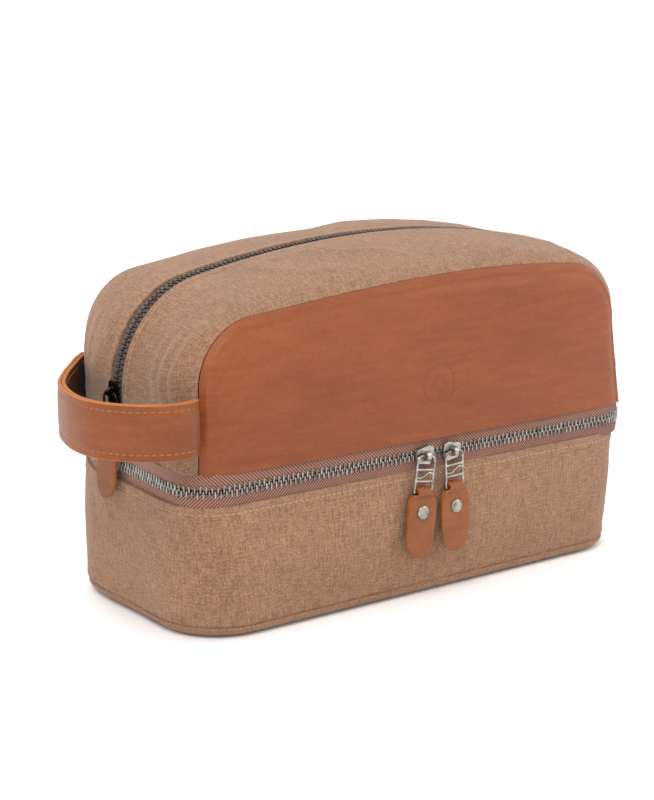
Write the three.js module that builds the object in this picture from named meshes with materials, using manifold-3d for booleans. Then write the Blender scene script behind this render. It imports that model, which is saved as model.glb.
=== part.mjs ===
// A soft shaving kit bag of canvas and leather: an open tray below, a zipped compartment above it
// that hinges back along the rear edge, a leather strap handle on the left end and three zip sliders.
// Millimetres, +Z up, +X along the length, -Y towards the leather front. Origin: centre of the base.
import * as THREE from 'three';
import { mergeVertices } from 'three/addons/utils/BufferGeometryUtils.js';
import Module from 'manifold-3d';

const wasm = await Module();
wasm.setup();

// ---- Driving dimensions ------------------------------------------------------------------------

const GAP = 0.3; // clearance between pieces that touch
const CANVAS = 2.4; // padded canvas wall
const LEATHER = 2.2; // front panel leather
const LINING = 0.8;

// Outlines seen from above: half the depth b, and for each end its distance a from the middle, its
// corner radius r, how far its middle is pinched in, and how far its rear corner is tucked in.
const end = (a, r, pinch, tuck = 0) => ({ a, r, pinch, tuck });
const TRAY_FOOT = { b: 59.5, left: end(127.5, 29, 0.5, 6), right: end(132, 27, 0.5) };
const TRAY_HEEL = { b: 64.5, left: end(132.5, 31, 1, 10), right: end(137, 28, 1) };
const TRAY_RIM = { b: 72.5, left: end(139, 21, 3.6, 28), right: end(138, 36, 3.6) };
const TUCK_Y = [8, 80]; // where the tuck starts, and where it would be complete
const TUCK_X = 110; // the tuck fades out from here to the middle of the length
const CORNER_STEPS = 5;
const END_STEPS = 6;
const CORNER_START = 2; // an outline's points from the middle of its rear to its first corner
const RIM_Z = 66;
const HEEL_Z = 8;
const SIDE_STEPS = 4; // levels between the heel and the rim
// The wall's rounded lower edge: how far inside the heel it lies, and its height.
const FOLD_UNDER = { inset: 2.4, z: 1.4 };
const FOLD_SIDE = { inset: 0.6, z: 4 };
const TURN_IN = { low: 0.2, high: 2.2 }; // heights of the wall's edge round the base
const BASE_THICK = 2;
const BOARD_THICK = 2;
const BOARD_INSET = 5;
const LINING_INSET = 3.12; // from the wall's outer face to the lining
const LINING_EASE = 0.6; // how much further in the lining lies at the heel
const LINING_CORNER = 3.4; // how much further in its floor ends

// Zip band between the tray and the compartment.
const BAND = { b: 73.4, left: end(139.6, 20, 4, 28), right: end(139, 30, 4) };
const ZIP_Z = 73; // middle of the chain
const SPLIT = 0.7; // half the gap between the two rows of teeth
const CHAIN = 2.8; // half width of the closed chain
const TOOTH_THICK = 2.4;
const TAPE_THICK = 1;
const COMPARTMENT_Z = 80; // lower edge of the compartment
const STOP_LENGTH = 3;
const HINGE_THICK = 1.2;
const HINGE_IN = 0.2; // how far inside the band the hinge lies
const HINGE_SPLIT = 0.4; // half the gap between its two parts

// Compartment: the front seam, the rear seam and the crown line along the top zip, each an arch
// in XZ made of a left side, a left shoulder arc, a top curve, a right shoulder arc and a right side.
const SEAM_Y = 66.5;
const FRONT_SEAM = {
  left: { foot: -133, side: -132.5, z: 118, r: 30, sweep: 84 },
  right: { foot: 128, side: 120, z: 126, r: 29, sweep: 84 },
};
const REAR_SEAM = {
  left: { foot: -109, side: -108, z: 125.6, r: 26, sweep: 84 },
  right: { foot: 131, side: 127, z: 130, r: 31, sweep: 84 },
};
const CROWN = {
  left: { foot: -134, side: -134, z: 107, r: 52, sweep: 78 },
  right: { foot: 135.5, side: 135, z: 126, r: 38, sweep: 80 },
};
const ARCH_STEPS = { side: 2, shoulder: 7, top: 10 };
const END_BULGE = { front: 9, rear: 4 }; // swell of the gussets on the ends, and on the top
const TOP_BULGE = 3;
const PANEL_LIFT = 5.6; // how far a panel stands out of its seam, and how it crowns
const PANEL_SOFT = 4.5;
const PANEL_CROWN = 2;
const PANEL_CROWN_RUN = 60; // distance from the seam at which the crown is full
const PANEL_TAPER = 0.35; // how far the rows of a panel draw together towards its foot
const PANEL_LIP = 1.6; // width of the panel's edge along the seam
const ZIP_END_Z = 100; // where the top zip ends on each end of the bag
const SLOT = 5.2; // half width of the slot for the top zip
const TOP_CHAIN_RISE = 0.5; // how far the top zip's teeth stand above the crown
const DIVIDER_THICK = 1.6;
const DIVIDER_BOARD_Z = 80.6;
const LINING_SKIN = 4; // from the compartment's outer face to its lining
const DIVIDER = { b: 68.5, left: end(133.5, 20, 4, 26), right: end(133, 28, 4) };
const DIVIDER_BOARD = { b: 61, left: end(125, 20, 1, 20), right: end(125, 26, 1) };

// Handle strap: the outer face seen from above, from the front seam round to the rear seam.
const STRAP_LINE = [
  [-133.8, -71], [-142, -75.5], [-153, -75], [-163, -69], [-171.5, -58.5], [-176, -46], [-175.5, -30],
  [-170, -12], [-163, 3], [-154, 17.5], [-143.5, 33], [-132.5, 47], [-122.5, 59.5], [-113, 69.5],
];
const STRAP_LAYER = 1.7;
const STRAP_Z = [91.5, 116];
const STRAP_STEPS = 30;

// Zip pulls: a metal ladder frame hanging in the slider's bail, a folded leather tab and a rivet.
const PLATE_GAP = 0.7; // from the chain to the slider's plates, so that they clear it round the shoulder
const BAR_R = 0.8;
const PIN_OUT = 4.1; // pull axis above the middle of the chain
const PLATE_THICK = 1.15;
const NOSE = 5.4; // half the slider's length
const SHOULDER = 4.6; // half its width at the wide end
const HEEL_HALF = 3.4; // half its width at the narrow end
const BAIL_OUT = 2.45; // radii of the bail, and its width
const BAIL_IN = 1.15;
const BAIL_W = 2.4;
const FRAME_W = 11.6;
const FRAME_SIDE = 1.5;
const FRAME_ROUND = 2.4;
const FRAME_DROP = 17.5; // from the pull axis down to the bar that holds the leather
const TAB_W = 17;
const TAB_LEN = 32;
const TAB_LEATHER = 1.4;
const TAB_LOOP_GAP = 0.4; // between the frame's bar and the leather round it
const TAB_BACK = 5; // how far the back leaf reaches below the rivet
const TAB_TIP = 10; // length of the rounded tip
const RIVET_DROP = 9.5;
const RIVET_HOLE_R = 1.6;
const LEFT_SLIDER_X = -11;
const RIGHT_SLIDER_X = 6;
const TOP_SLIDER_Z = 107;

// Colours of the materials.
const LOOKS = {
  canvas: [0x9c7658, 0.95, 0], liner: [0x6d5443, 0.9, 0], board: [0x8b7d6b, 0.9, 0],
  leather: [0x9a5c38, 0.55, 0], strap: [0xa0643c, 0.55, 0], tape: [0x7a5548, 0.9, 0],
  nickel: [0x9b978f, 0.35, 0.9], gunmetal: [0x3a3633, 0.4, 0.9],
};

// ---- Solids ------------------------------------------------------------------------------------

const bag = new THREE.Group();

function add(name, geometry, look) {
  const [color, roughness, metalness] = LOOKS[look];
  geometry.computeVertexNormals();
  const mesh = new THREE.Mesh(geometry, new THREE.MeshStandardMaterial({ color, roughness, metalness }));
  mesh.name = name;
  bag.add(mesh);
}

// A geometry from points and triangles, turned so that its faces point outwards.
function closed(points, triangles) {
  let volume = 0;
  const [p, q, r] = [new THREE.Vector3(), new THREE.Vector3(), new THREE.Vector3()];
  for (const [i, j, k] of triangles) {
    volume += p.fromArray(points[i]).dot(q.fromArray(points[j]).cross(r.fromArray(points[k])));
  }
  const index = triangles.flatMap(([i, j, k]) => (volume < 0 ? [i, k, j] : [i, j, k]));
  const geometry = new THREE.BufferGeometry();
  geometry.setAttribute('position', new THREE.Float32BufferAttribute(points.flat(), 3));
  geometry.setIndex(index);
  return geometry;
}

// A solid swept through stations that all have the same number of points. It is a ring, or it is
// capped at both ends; its section is convex.
function sweep(stations, ring) {
  const m = stations[0].length;
  const n = stations.length;
  const triangles = [];
  for (let i = 0; i < (ring ? n : n - 1); i++) {
    for (let j = 0; j < m; j++) {
      const a = i * m + j;
      const b = i * m + (j + 1) % m;
      const c = ((i + 1) % n) * m + (j + 1) % m;
      const d = ((i + 1) % n) * m + j;
      triangles.push([a, b, c], [a, c, d]);
    }
  }
  for (let j = 1; !ring && j < m - 1; j++) {
    triangles.push([0, j + 1, j], [(n - 1) * m, (n - 1) * m + j, (n - 1) * m + j + 1]);
  }
  return closed(stations.flat(), triangles);
}

// A sheet with thickness: two grids of points with the same rows and columns, joined at the edges.
function slab(outer, inner) {
  const rows = outer.length;
  const cols = outer[0].length;
  const at = (side, i, j) => (side * rows + i) * cols + j;
  const triangles = [];
  const quad = (a, b, c, d) => triangles.push([a, b, c], [a, c, d]);
  for (let i = 0; i < rows - 1; i++) {
    for (let j = 0; j < cols - 1; j++) {
      quad(at(0, i, j), at(0, i, j + 1), at(0, i + 1, j + 1), at(0, i + 1, j));
      quad(at(1, i, j), at(1, i + 1, j), at(1, i + 1, j + 1), at(1, i, j + 1));
    }
  }
  for (let j = 0; j < cols - 1; j++) {
    quad(at(0, 0, j + 1), at(0, 0, j), at(1, 0, j), at(1, 0, j + 1));
    quad(at(0, rows - 1, j), at(0, rows - 1, j + 1), at(1, rows - 1, j + 1), at(1, rows - 1, j));
  }
  for (let i = 0; i < rows - 1; i++) {
    quad(at(0, i, 0), at(0, i + 1, 0), at(1, i + 1, 0), at(1, i, 0));
    quad(at(0, i + 1, cols - 1), at(0, i, cols - 1), at(1, i, cols - 1), at(1, i + 1, cols - 1));
  }
  return closed([...outer.flat(), ...inner.flat()], triangles);
}

function solid(geometry) {
  const plain = new THREE.BufferGeometry();
  plain.setAttribute('position', geometry.getAttribute('position'));
  if (geometry.index) plain.setIndex(geometry.index);
  const merged = mergeVertices(plain, 1e-4);
  return new wasm.Manifold(new wasm.Mesh({
    numProp: 3,
    vertProperties: new Float32Array(merged.getAttribute('position').array),
    triVerts: new Uint32Array(merged.index.array),
  }));
}

function geometryOf(manifold) {
  const mesh = manifold.getMesh();
  const geometry = new THREE.BufferGeometry();
  geometry.setAttribute('position', new THREE.Float32BufferAttribute(mesh.vertProperties, 3));
  geometry.setIndex(Array.from(mesh.triVerts));
  return geometry;
}

function block(x0, x1, y0, y1, z0, z1) {
  const box = new THREE.BoxGeometry(x1 - x0, y1 - y0, z1 - z0);
  return solid(box.translate((x0 + x1) / 2, (y0 + y1) / 2, (z0 + z1) / 2));
}

// ---- Outlines ----------------------------------------------------------------------------------

function inset({ b, left, right }, d) {
  const smaller = (side) => ({ ...side, a: side.a - d, r: side.r - d });
  return { b: b - d, left: smaller(left), right: smaller(right) };
}

function between(p, q, t) {
  const mixed = {};
  for (const key of Object.keys(p)) {
    const nested = typeof p[key] === 'object';
    mixed[key] = nested ? between(p[key], q[key], t) : THREE.MathUtils.lerp(p[key], q[key], t);
  }
  return mixed;
}

// Half an outline, from the middle of the rear round the left end to the middle of the front.
function halfOutline(b, { a, r, pinch, tuck }) {
  const half = [[0, b], [-(a - r) / 2, b]];
  const corner = (cy, from) => {
    for (let i = 0; i <= CORNER_STEPS; i++) {
      const angle = from + (Math.PI / 2) * (i / CORNER_STEPS);
      half.push([-(a - r) + r * Math.cos(angle), cy + r * Math.sin(angle)]);
    }
  };
  corner(b - r, Math.PI / 2);
  for (let i = 1; i < END_STEPS; i++) {
    const y = (b - r) * (1 - (2 * i) / END_STEPS);
    half.push([-(a - pinch * (1 - (y / (b - r)) ** 2) ** 2), y]);
  }
  corner(-(b - r), Math.PI);
  half.push([-(a - r) / 2, -b], [0, -b]);
  return half.map(([x, y]) => {
    const drawn = tuck * THREE.MathUtils.smoothstep(y, ...TUCK_Y) * Math.min((x / TUCK_X) ** 2, 1);
    return [x + drawn, y];
  });
}

function outline({ b, left, right }) {
  const mirrored = halfOutline(b, right).slice(1, -1).reverse().map(([x, y]) => [-x, y]);
  return [...halfOutline(b, left), ...mirrored];
}

function along([x0, y0], [x1, y1], distance) {
  const k = distance / Math.hypot(x1 - x0, y1 - y0);
  return [x0 + (x1 - x0) * k, y0 + (y1 - y0) * k];
}

// The stretch of an outline that the zip follows (both ends and the front), or the straight rear
// edge, where the compartment hinges. Both stop short of where they meet.
function stretch(spec, part, short) {
  const loop = outline(spec);
  const last = loop.length - CORNER_START;
  const hinge = [...loop.slice(last), ...loop.slice(0, CORNER_START + 1)];
  const path = part === 'zip' ? loop.slice(CORNER_START, last + 1) : hinge;
  const n = path.length;
  return [along(path[0], path[1], short), ...path.slice(1, -1), along(path[n - 1], path[n - 2], short)];
}

// Directions square to a path seen from above, pointing to the side given.
function normals(path, side) {
  return path.map((_, i) => {
    const [x0, y0] = path[Math.max(i - 1, 0)];
    const [x1, y1] = path[Math.min(i + 1, path.length - 1)];
    const length = Math.hypot(x1 - x0, y1 - y0);
    return [(side * (y1 - y0)) / length, (side * (x0 - x1)) / length];
  });
}

// An upright strip along a path: it lies between two distances inwards of the path, and two heights.
function strip(path, near, far, low, high, side = 1) {
  const out = normals(path, side);
  const stations = path.map(([x, y], i) => {
    const at = (d, z) => [x - out[i][0] * d, y - out[i][1] * d, z];
    return [at(near, low), at(near, high), at(far, high), at(far, low)];
  });
  return sweep(stations, false);
}

function plate(spec, low, high) {
  const shape = new THREE.Shape(outline(spec).map(([x, y]) => new THREE.Vector2(x, y)));
  const geometry = new THREE.ExtrudeGeometry(shape, { depth: high - low, bevelEnabled: false });
  return geometryOf(solid(geometry.translate(0, 0, low)));
}

// A wall that follows outlines at several heights, given in order round its section.
function wall(levels) {
  const loops = levels.map(([spec]) => outline(spec));
  const stations = loops[0].map((_, i) => levels.map(([, z], j) => [...loops[j][i], z]));
  return sweep(stations, true);
}

// A full block that follows outlines at several heights, from the bottom up.
function stack(levels) {
  const n = outline(levels[0][0]).length;
  const points = levels.flatMap(([spec, z]) => outline(spec).map(([x, y]) => [x, y, z]));
  const triangles = [];
  for (let i = 0; i < levels.length - 1; i++) {
    for (let j = 0; j < n; j++) {
      const [a, b] = [i * n + j, i * n + (j + 1) % n];
      triangles.push([a, b, b + n], [a, b + n, a + n]);
    }
  }
  const cap = (row) => {
    const flat = points.slice(row * n, (row + 1) * n).map(([x, y]) => new THREE.Vector2(x, y));
    return THREE.ShapeUtils.triangulateShape(flat, []).map((t) => t.map((v) => v + row * n));
  };
  const floor = cap(0).map(([a, b, c]) => [a, c, b]);
  return solid(closed(points, [...triangles, ...cap(levels.length - 1), ...floor]));
}

// An arch from the lower left to the lower right in XZ, with its outward directions.
function arch({ left, right }, foot) {
  const rad = THREE.MathUtils.degToRad;
  const points = [];
  const side = (s, i) => {
    const t = i / ARCH_STEPS.side;
    const footX = THREE.MathUtils.lerp(s.foot, s.side, (foot - COMPARTMENT_Z) / (s.z - COMPARTMENT_Z));
    return [THREE.MathUtils.lerp(footX, s.side, t), THREE.MathUtils.lerp(foot, s.z, t)];
  };
  const shoulder = (s, way, i) => {
    const angle = rad(s.sweep) * (i / ARCH_STEPS.shoulder);
    return [s.side + way * s.r * (1 - Math.cos(angle)), s.z + s.r * Math.sin(angle)];
  };
  for (let i = 0; i < ARCH_STEPS.side; i++) points.push(side(left, i));
  for (let i = 0; i <= ARCH_STEPS.shoulder; i++) points.push(shoulder(left, 1, i));
  const [x0, z0] = shoulder(left, 1, ARCH_STEPS.shoulder);
  const [x1, z1] = shoulder(right, -1, ARCH_STEPS.shoulder);
  const span = x1 - x0;
  const [m0, m1] = [span / Math.tan(rad(left.sweep)), -span / Math.tan(rad(right.sweep))];
  for (let i = 1; i < ARCH_STEPS.top; i++) {
    const t = i / ARCH_STEPS.top;
    const h = [2 * t ** 3 - 3 * t * t + 1, t ** 3 - 2 * t * t + t, 3 * t * t - 2 * t ** 3, t ** 3 - t * t];
    points.push([x0 + span * t, h[0] * z0 + h[1] * m0 + h[2] * z1 + h[3] * m1]);
  }
  for (let i = ARCH_STEPS.shoulder; i >= 0; i--) points.push(shoulder(right, -1, i));
  for (let i = ARCH_STEPS.side - 1; i >= 0; i--) points.push(side(right, i));
  return { points, out: normals(points, -1) };
}

// One row of the gusset band, at a fixed y, as points in XZ on its outer face or `depth` inside it.
function bandRow(y, foot, depth) {
  const seam = arch(y < 0 ? FRONT_SEAM : REAR_SEAM, foot);
  const crown = arch(CROWN, foot);
  const w = Math.min(Math.abs(y) / SEAM_Y, 1);
  return seam.points.map(([x, z], i) => {
    const [nx, nz] = seam.out[i];
    const topness = Math.max(nz, 0) ** 2;
    const swell = THREE.MathUtils.lerp(y < 0 ? END_BULGE.front : END_BULGE.rear, TOP_BULGE, topness);
    const bulge = swell * w * w * (1 - w ** 10) - depth;
    const rise = 1 - w * w;
    const px = x + (crown.points[i][0] - x) * rise + nx * bulge;
    const pz = z + (crown.points[i][1] - z) * rise + nz * bulge;
    return [px, y, Math.max(pz, foot)];
  });
}

// Rows of a panel from its seam inwards: they shrink towards the middle of its lower edge.
// `front` is -1 for the front and 1 for the rear, `depth` how far inside the outer face they lie.
function panelRows(spec, front, foot, depth, steps) {
  const edge = arch(spec, foot).points;
  return steps.map((t) => edge.map(([x, z]) => {
    const px = x * (1 - PANEL_TAPER * t);
    const pz = foot + (z - foot) * (1 - t);
    const d = Math.hypot(px - x, pz - z);
    const crown = PANEL_CROWN * Math.sin(Math.min(d / PANEL_CROWN_RUN, 1) * (Math.PI / 2));
    const lift = PANEL_LIFT * (1 - Math.exp(-d / PANEL_SOFT)) + crown;
    return [px, front * Math.max(SEAM_Y + lift - depth, SEAM_Y), pz];
  }));
}

// ---- Tray --------------------------------------------------------------------------------------

// Outlines of the tray's side from the heel up to the rim, at the distances inside it that are given.
function traySide(heelInset, rimInset, lift = 0) {
  const [low, high] = [inset(TRAY_HEEL, heelInset), inset(TRAY_RIM, rimInset)];
  const levels = [];
  for (let i = 0; i <= SIDE_STEPS; i++) {
    const t = i / SIDE_STEPS;
    levels.push([between(low, high, t), THREE.MathUtils.lerp(HEEL_Z + lift, RIM_Z, t)]);
  }
  return levels;
}

function makeTray() {
  add('tray_base', plate(inset(TRAY_FOOT, GAP), 0, BASE_THICK), 'canvas');
  const boardZ = BASE_THICK + GAP;
  add('base_board', plate(inset(TRAY_FOOT, BOARD_INSET), boardZ, boardZ + BOARD_THICK), 'board');

  add('tray_wall', wall([
    [TRAY_FOOT, TURN_IN.low],
    [inset(TRAY_HEEL, FOLD_UNDER.inset), FOLD_UNDER.z],
    [inset(TRAY_HEEL, FOLD_SIDE.inset), FOLD_SIDE.z],
    ...traySide(0, 0),
    ...traySide(CANVAS, CANVAS).reverse(),
    [inset(TRAY_HEEL, CANVAS + 1.6), 4.4],
    [TRAY_FOOT, TURN_IN.high],
  ]), 'canvas');

  const floorZ = boardZ + BOARD_THICK + GAP;
  const heelInset = LINING_INSET + LINING_EASE;
  const floorInset = LINING_INSET + LINING_CORNER;
  const outer = [[inset(TRAY_HEEL, floorInset), floorZ], ...traySide(heelInset, LINING_INSET)];
  const cavity = [
    [inset(TRAY_HEEL, floorInset + LINING), floorZ + LINING],
    ...traySide(heelInset + LINING, LINING_INSET + LINING, LINING),
    [inset(TRAY_RIM, LINING_INSET + LINING), RIM_Z + 1],
  ];
  add('tray_lining', geometryOf(stack(outer).subtract(stack(cavity))), 'liner');
}

// The two halves of the tray zip and of the canvas hinge behind it. They lie in one upright band.
function makeZipBand() {
  const tapeIn = (TOOTH_THICK - TAPE_THICK) / 2;
  const zipPath = stretch(BAND, 'zip', STOP_LENGTH + 2 * GAP);
  const tapePath = stretch(BAND, 'zip', GAP);
  const hingePath = stretch(BAND, 'hinge', GAP);
  const halves = [
    ['tray', RIM_Z + GAP, ZIP_Z - CHAIN - GAP, ZIP_Z - CHAIN, ZIP_Z - SPLIT],
    ['lid', ZIP_Z + CHAIN + GAP, COMPARTMENT_Z - GAP, ZIP_Z + SPLIT, ZIP_Z + CHAIN],
  ];
  for (const [half, tapeLow, tapeHigh, toothLow, toothHigh] of halves) {
    add(`${half}_zip_tape`, strip(tapePath, tapeIn, tapeIn + TAPE_THICK, tapeLow, tapeHigh), 'tape');
    add(`${half}_zip_teeth`, strip(zipPath, 0, TOOTH_THICK, toothLow, toothHigh), 'nickel');
    const below = [RIM_Z + GAP, ZIP_Z - HINGE_SPLIT];
    const above = [ZIP_Z + HINGE_SPLIT, COMPARTMENT_Z - GAP];
    const hinge = strip(hingePath, HINGE_IN, HINGE_IN + HINGE_THICK, ...(half === 'tray' ? below : above));
    add(`${half}_hinge_strip`, hinge, 'canvas');
  }
  const n = tapePath.length;
  const stops = {
    left: [tapePath[0], along(tapePath[0], tapePath[1], STOP_LENGTH)],
    right: [along(tapePath[n - 1], tapePath[n - 2], STOP_LENGTH), tapePath[n - 1]],
  };
  for (const [name, path] of Object.entries(stops)) {
    const stop = strip(path, 0.1, TOOTH_THICK, ZIP_Z - CHAIN, ZIP_Z + SPLIT - GAP);
    add(`tray_zip_stop_${name}`, stop, 'nickel');
  }
}

// ---- Compartment -------------------------------------------------------------------------------

// Where rows of points lie: along a panel from its seam, across a gusset from the seam to the zip.
const PANEL_STEPS = [0, 0.04, 0.1, 0.2, 0.4, 0.7, 1];
const GUSSET_STEPS = [1, 0.95, 0.87, 0.75, 0.52, 0.28];
const LINING_FACE_STEPS = [1, 0.5, 0.12];
const LINING_BAND_STEPS = [0.82, 0.5, 0.14];

function makePanels() {
  const foot = COMPARTMENT_Z + GAP;
  const panels = [['front_panel', FRONT_SEAM, -1, 'leather'], ['rear_panel', REAR_SEAM, 1, 'canvas']];
  for (const [name, spec, front, look] of panels) {
    const outer = panelRows(spec, front, foot, 0, PANEL_STEPS);
    const inner = panelRows(spec, front, foot, LEATHER, PANEL_STEPS);
    const { out } = arch(spec, foot);
    const last = out.length - 1;
    out[0] = [-1, 0];
    out[last] = [1, 0];
    inner[0] = outer[0].map(([x, y, z], j) => {
      const [outX, outZ] = out[j];
      return [x - PANEL_LIP * outX, y, Math.max(z - PANEL_LIP * outZ, foot)];
    });
    add(name, slab(outer, inner), look);
  }
}

function makeGussets() {
  const edge = SEAM_Y - GAP;
  for (const [name, front] of [['front_gusset', -1], ['rear_gusset', 1]]) {
    const ys = [...GUSSET_STEPS.map((w) => front * edge * w), front * SLOT];
    const foot = ZIP_END_Z + GAP;
    add(name, slab(ys.map((y) => bandRow(y, foot, 0)), ys.map((y) => bandRow(y, foot, CANVAS))), 'canvas');
  }
  const rows = [...GUSSET_STEPS, 0.1];
  const ys = [...rows.map((w) => -edge * w), ...rows.map((w) => edge * w).reverse()];
  for (const name of ['left', 'right']) {
    const column = (y, z, depth) => {
      const row = bandRow(y, z, 0);
      const [x] = name === 'left' ? row[0] : row[row.length - 1];
      return [x + (name === 'left' ? depth : -depth), y, z];
    };
    const levels = [COMPARTMENT_Z + GAP, ZIP_END_Z - GAP];
    const grid = (depth) => ys.map((y) => levels.map((z) => column(y, z, depth)));
    add(`${name}_end_gusset`, slab(grid(0), grid(CANVAS)), 'canvas');
  }
}

function makeCompartmentInside() {
  const floorTop = COMPARTMENT_Z - GAP;
  add('divider', plate(DIVIDER, floorTop - DIVIDER_THICK, floorTop), 'liner');
  const boardTop = DIVIDER_BOARD_Z + BOARD_THICK;
  add('divider_board', plate(DIVIDER_BOARD, DIVIDER_BOARD_Z, boardTop), 'board');

  const foot = boardTop + 2 * GAP;
  for (const [name, spec, front] of [['front_lining', FRONT_SEAM, -1], ['rear_lining', REAR_SEAM, 1]]) {
    const rows = (depth) => {
      const inwards = ([x, y, z]) => [x, y - front * depth, z];
      const face = panelRows(spec, front, foot, 0, LINING_FACE_STEPS).map((row) => row.map(inwards));
      const band = LINING_BAND_STEPS.map((w) => bandRow(front * SEAM_Y * w, foot, depth));
      return [...face, ...band];
    };
    add(name, slab(rows(LINING_SKIN), rows(LINING_SKIN + LINING)), 'liner');
  }
}

function makeTopZip() {
  const path = (depth, y) => {
    const { points, out } = arch(CROWN, ZIP_END_Z + GAP);
    return points.map(([x, z], i) => [x - out[i][0] * depth, y, z - out[i][1] * depth]);
  };
  const bar = (y0, y1, high, low) => {
    const [a, b, c, d] = [path(high, y0), path(high, y1), path(low, y1), path(low, y0)];
    return sweep(a.map((_, i) => [a[i], b[i], c[i], d[i]]), false);
  };
  const toothTop = -TOP_CHAIN_RISE;
  const tapeTop = toothTop + (TOOTH_THICK - TAPE_THICK) / 2;
  for (const [name, front] of [['front', -1], ['rear', 1]]) {
    const tape = [front * (SLOT - GAP), front * (CHAIN + GAP)];
    add(`top_zip_${name}_tape`, bar(...tape, tapeTop, tapeTop + TAPE_THICK), 'tape');
    const teeth = [front * CHAIN, front * SPLIT];
    add(`top_zip_${name}_teeth`, bar(...teeth, toothTop, toothTop + TOOTH_THICK), 'gunmetal');
  }
}

function makeStrap() {
  const curve = new THREE.CatmullRomCurve3(STRAP_LINE.map(([x, y]) => new THREE.Vector3(x, y, 0)));
  const path = curve.getSpacedPoints(STRAP_STEPS).map(({ x, y }) => [x, y]);
  const layer = (depth) => strip(path, depth, depth + STRAP_LAYER, ...STRAP_Z, -1);
  add('strap_outer', layer(0), 'strap');
  add('strap_inner', layer(STRAP_LAYER + GAP), 'strap');
}

// ---- Sliders and pulls -------------------------------------------------------------------------
// Built about the pull axis: x along the axis, y up, z outwards from the bag.

// The slider's body. `run` is the angle of its travel, from x.
function sliderBody(run) {
  const wing = new THREE.Shape();
  wing.moveTo(NOSE, SHOULDER - 2.4);
  wing.quadraticCurveTo(NOSE - 0.2, SHOULDER, NOSE - 3, SHOULDER);
  wing.lineTo(1 - NOSE, HEEL_HALF);
  wing.quadraticCurveTo(-NOSE, HEEL_HALF - 0.4, -NOSE, HEEL_HALF - 1.4);
  wing.lineTo(-NOSE, 1.4 - HEEL_HALF);
  wing.quadraticCurveTo(-NOSE, 0.4 - HEEL_HALF, 1 - NOSE, -HEEL_HALF);
  wing.lineTo(NOSE - 3, -SHOULDER);
  wing.quadraticCurveTo(NOSE - 0.2, -SHOULDER, NOSE, 2.4 - SHOULDER);
  wing.closePath();
  const extruded = (shape, depth, curveSegments) => (
    new THREE.ExtrudeGeometry(shape, { depth, bevelEnabled: false, curveSegments })
  );
  const clear = TOOTH_THICK / 2 + PLATE_GAP;
  const front = solid(extruded(wing, PLATE_THICK, 3).translate(0, 0, clear - PIN_OUT));
  const back = solid(extruded(wing, 1, 3).translate(0, 0, -clear - 1 - PIN_OUT));
  const post = block(0.6, 3.4, -0.35, 0.35, -clear - PIN_OUT - 0.2, clear - PIN_OUT + 0.2);
  const turned = geometryOf(front.add(back).add(post)).applyMatrix4(new THREE.Matrix4().makeRotationZ(run));

  const root = clear + 0.5 - PIN_OUT;
  const bail = new THREE.Shape();
  bail.moveTo(BAIL_OUT, root);
  bail.lineTo(BAIL_OUT, 0);
  bail.absarc(0, 0, BAIL_OUT, 0, Math.PI, false);
  bail.lineTo(-BAIL_OUT, root);
  bail.lineTo(-BAIL_IN, root);
  bail.lineTo(-BAIL_IN, 0);
  bail.absarc(0, 0, BAIL_IN, Math.PI, 0, true);
  bail.lineTo(BAIL_IN, root);
  bail.closePath();
  // The shape's x becomes y and its y becomes z, so that the bail spans up and down.
  const ring = extruded(bail, BAIL_W, 8).translate(0, 0, -BAIL_W / 2).applyMatrix4(
    new THREE.Matrix4().makeBasis(
      new THREE.Vector3(0, 1, 0), new THREE.Vector3(0, 0, 1), new THREE.Vector3(1, 0, 0),
    ),
  );
  return geometryOf(solid(turned).add(solid(ring)));
}

// The metal ladder between the slider and the leather: three openings, the middle one crossed by a
// slanted strut, with round bars at the top and the bottom.
function pullFrame() {
  const half = FRAME_W / 2;
  const opening = half - FRAME_SIDE;
  const shape = new THREE.Shape();
  shape.moveTo(-half, -FRAME_DROP);
  shape.lineTo(half, -FRAME_DROP);
  shape.lineTo(half, -FRAME_ROUND);
  shape.quadraticCurveTo(half, 0, half - FRAME_ROUND, 0);
  shape.lineTo(-half + FRAME_ROUND, 0);
  shape.quadraticCurveTo(-half, 0, -half, -FRAME_ROUND);
  shape.closePath();
  const hole = (points) => {
    shape.holes.push(new THREE.Path(points.map(([x, y]) => new THREE.Vector2(x, y))));
  };
  const top = -BAR_R + 0.1;
  const low = -FRAME_DROP + BAR_R - 0.1;
  const [rungHigh, rungLow, strut] = [-4.6, -14.15, 1.6];
  hole([
    [-opening + 0.8, top], [opening - 0.8, top], [opening, top - 0.8],
    [opening, rungHigh + 0.6], [-opening, rungHigh + 0.6], [-opening, top - 0.8],
  ]);
  hole([[-opening, rungHigh - 0.6], [-opening, rungLow + strut], [opening - strut, rungHigh - 0.6]]);
  hole([[opening, rungHigh - strut], [opening, rungLow + 0.55], [-opening + strut, rungLow + 0.55]]);
  hole([[-opening, rungLow - 0.55], [opening, rungLow - 0.55], [opening, low], [-opening, low]]);
  const ladder = new THREE.ExtrudeGeometry(shape, { depth: 2 * BAR_R, bevelEnabled: false, curveSegments: 3 });
  let frame = solid(ladder.translate(0, 0, -BAR_R));
  for (const [y, length] of [[0, FRAME_W - 3], [-FRAME_DROP, FRAME_W]]) {
    const bar = new THREE.CylinderGeometry(BAR_R, BAR_R, length, 10).rotateZ(Math.PI / 2);
    frame = frame.add(solid(bar.translate(0, y, 0)));
  }
  return geometryOf(frame);
}

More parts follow.
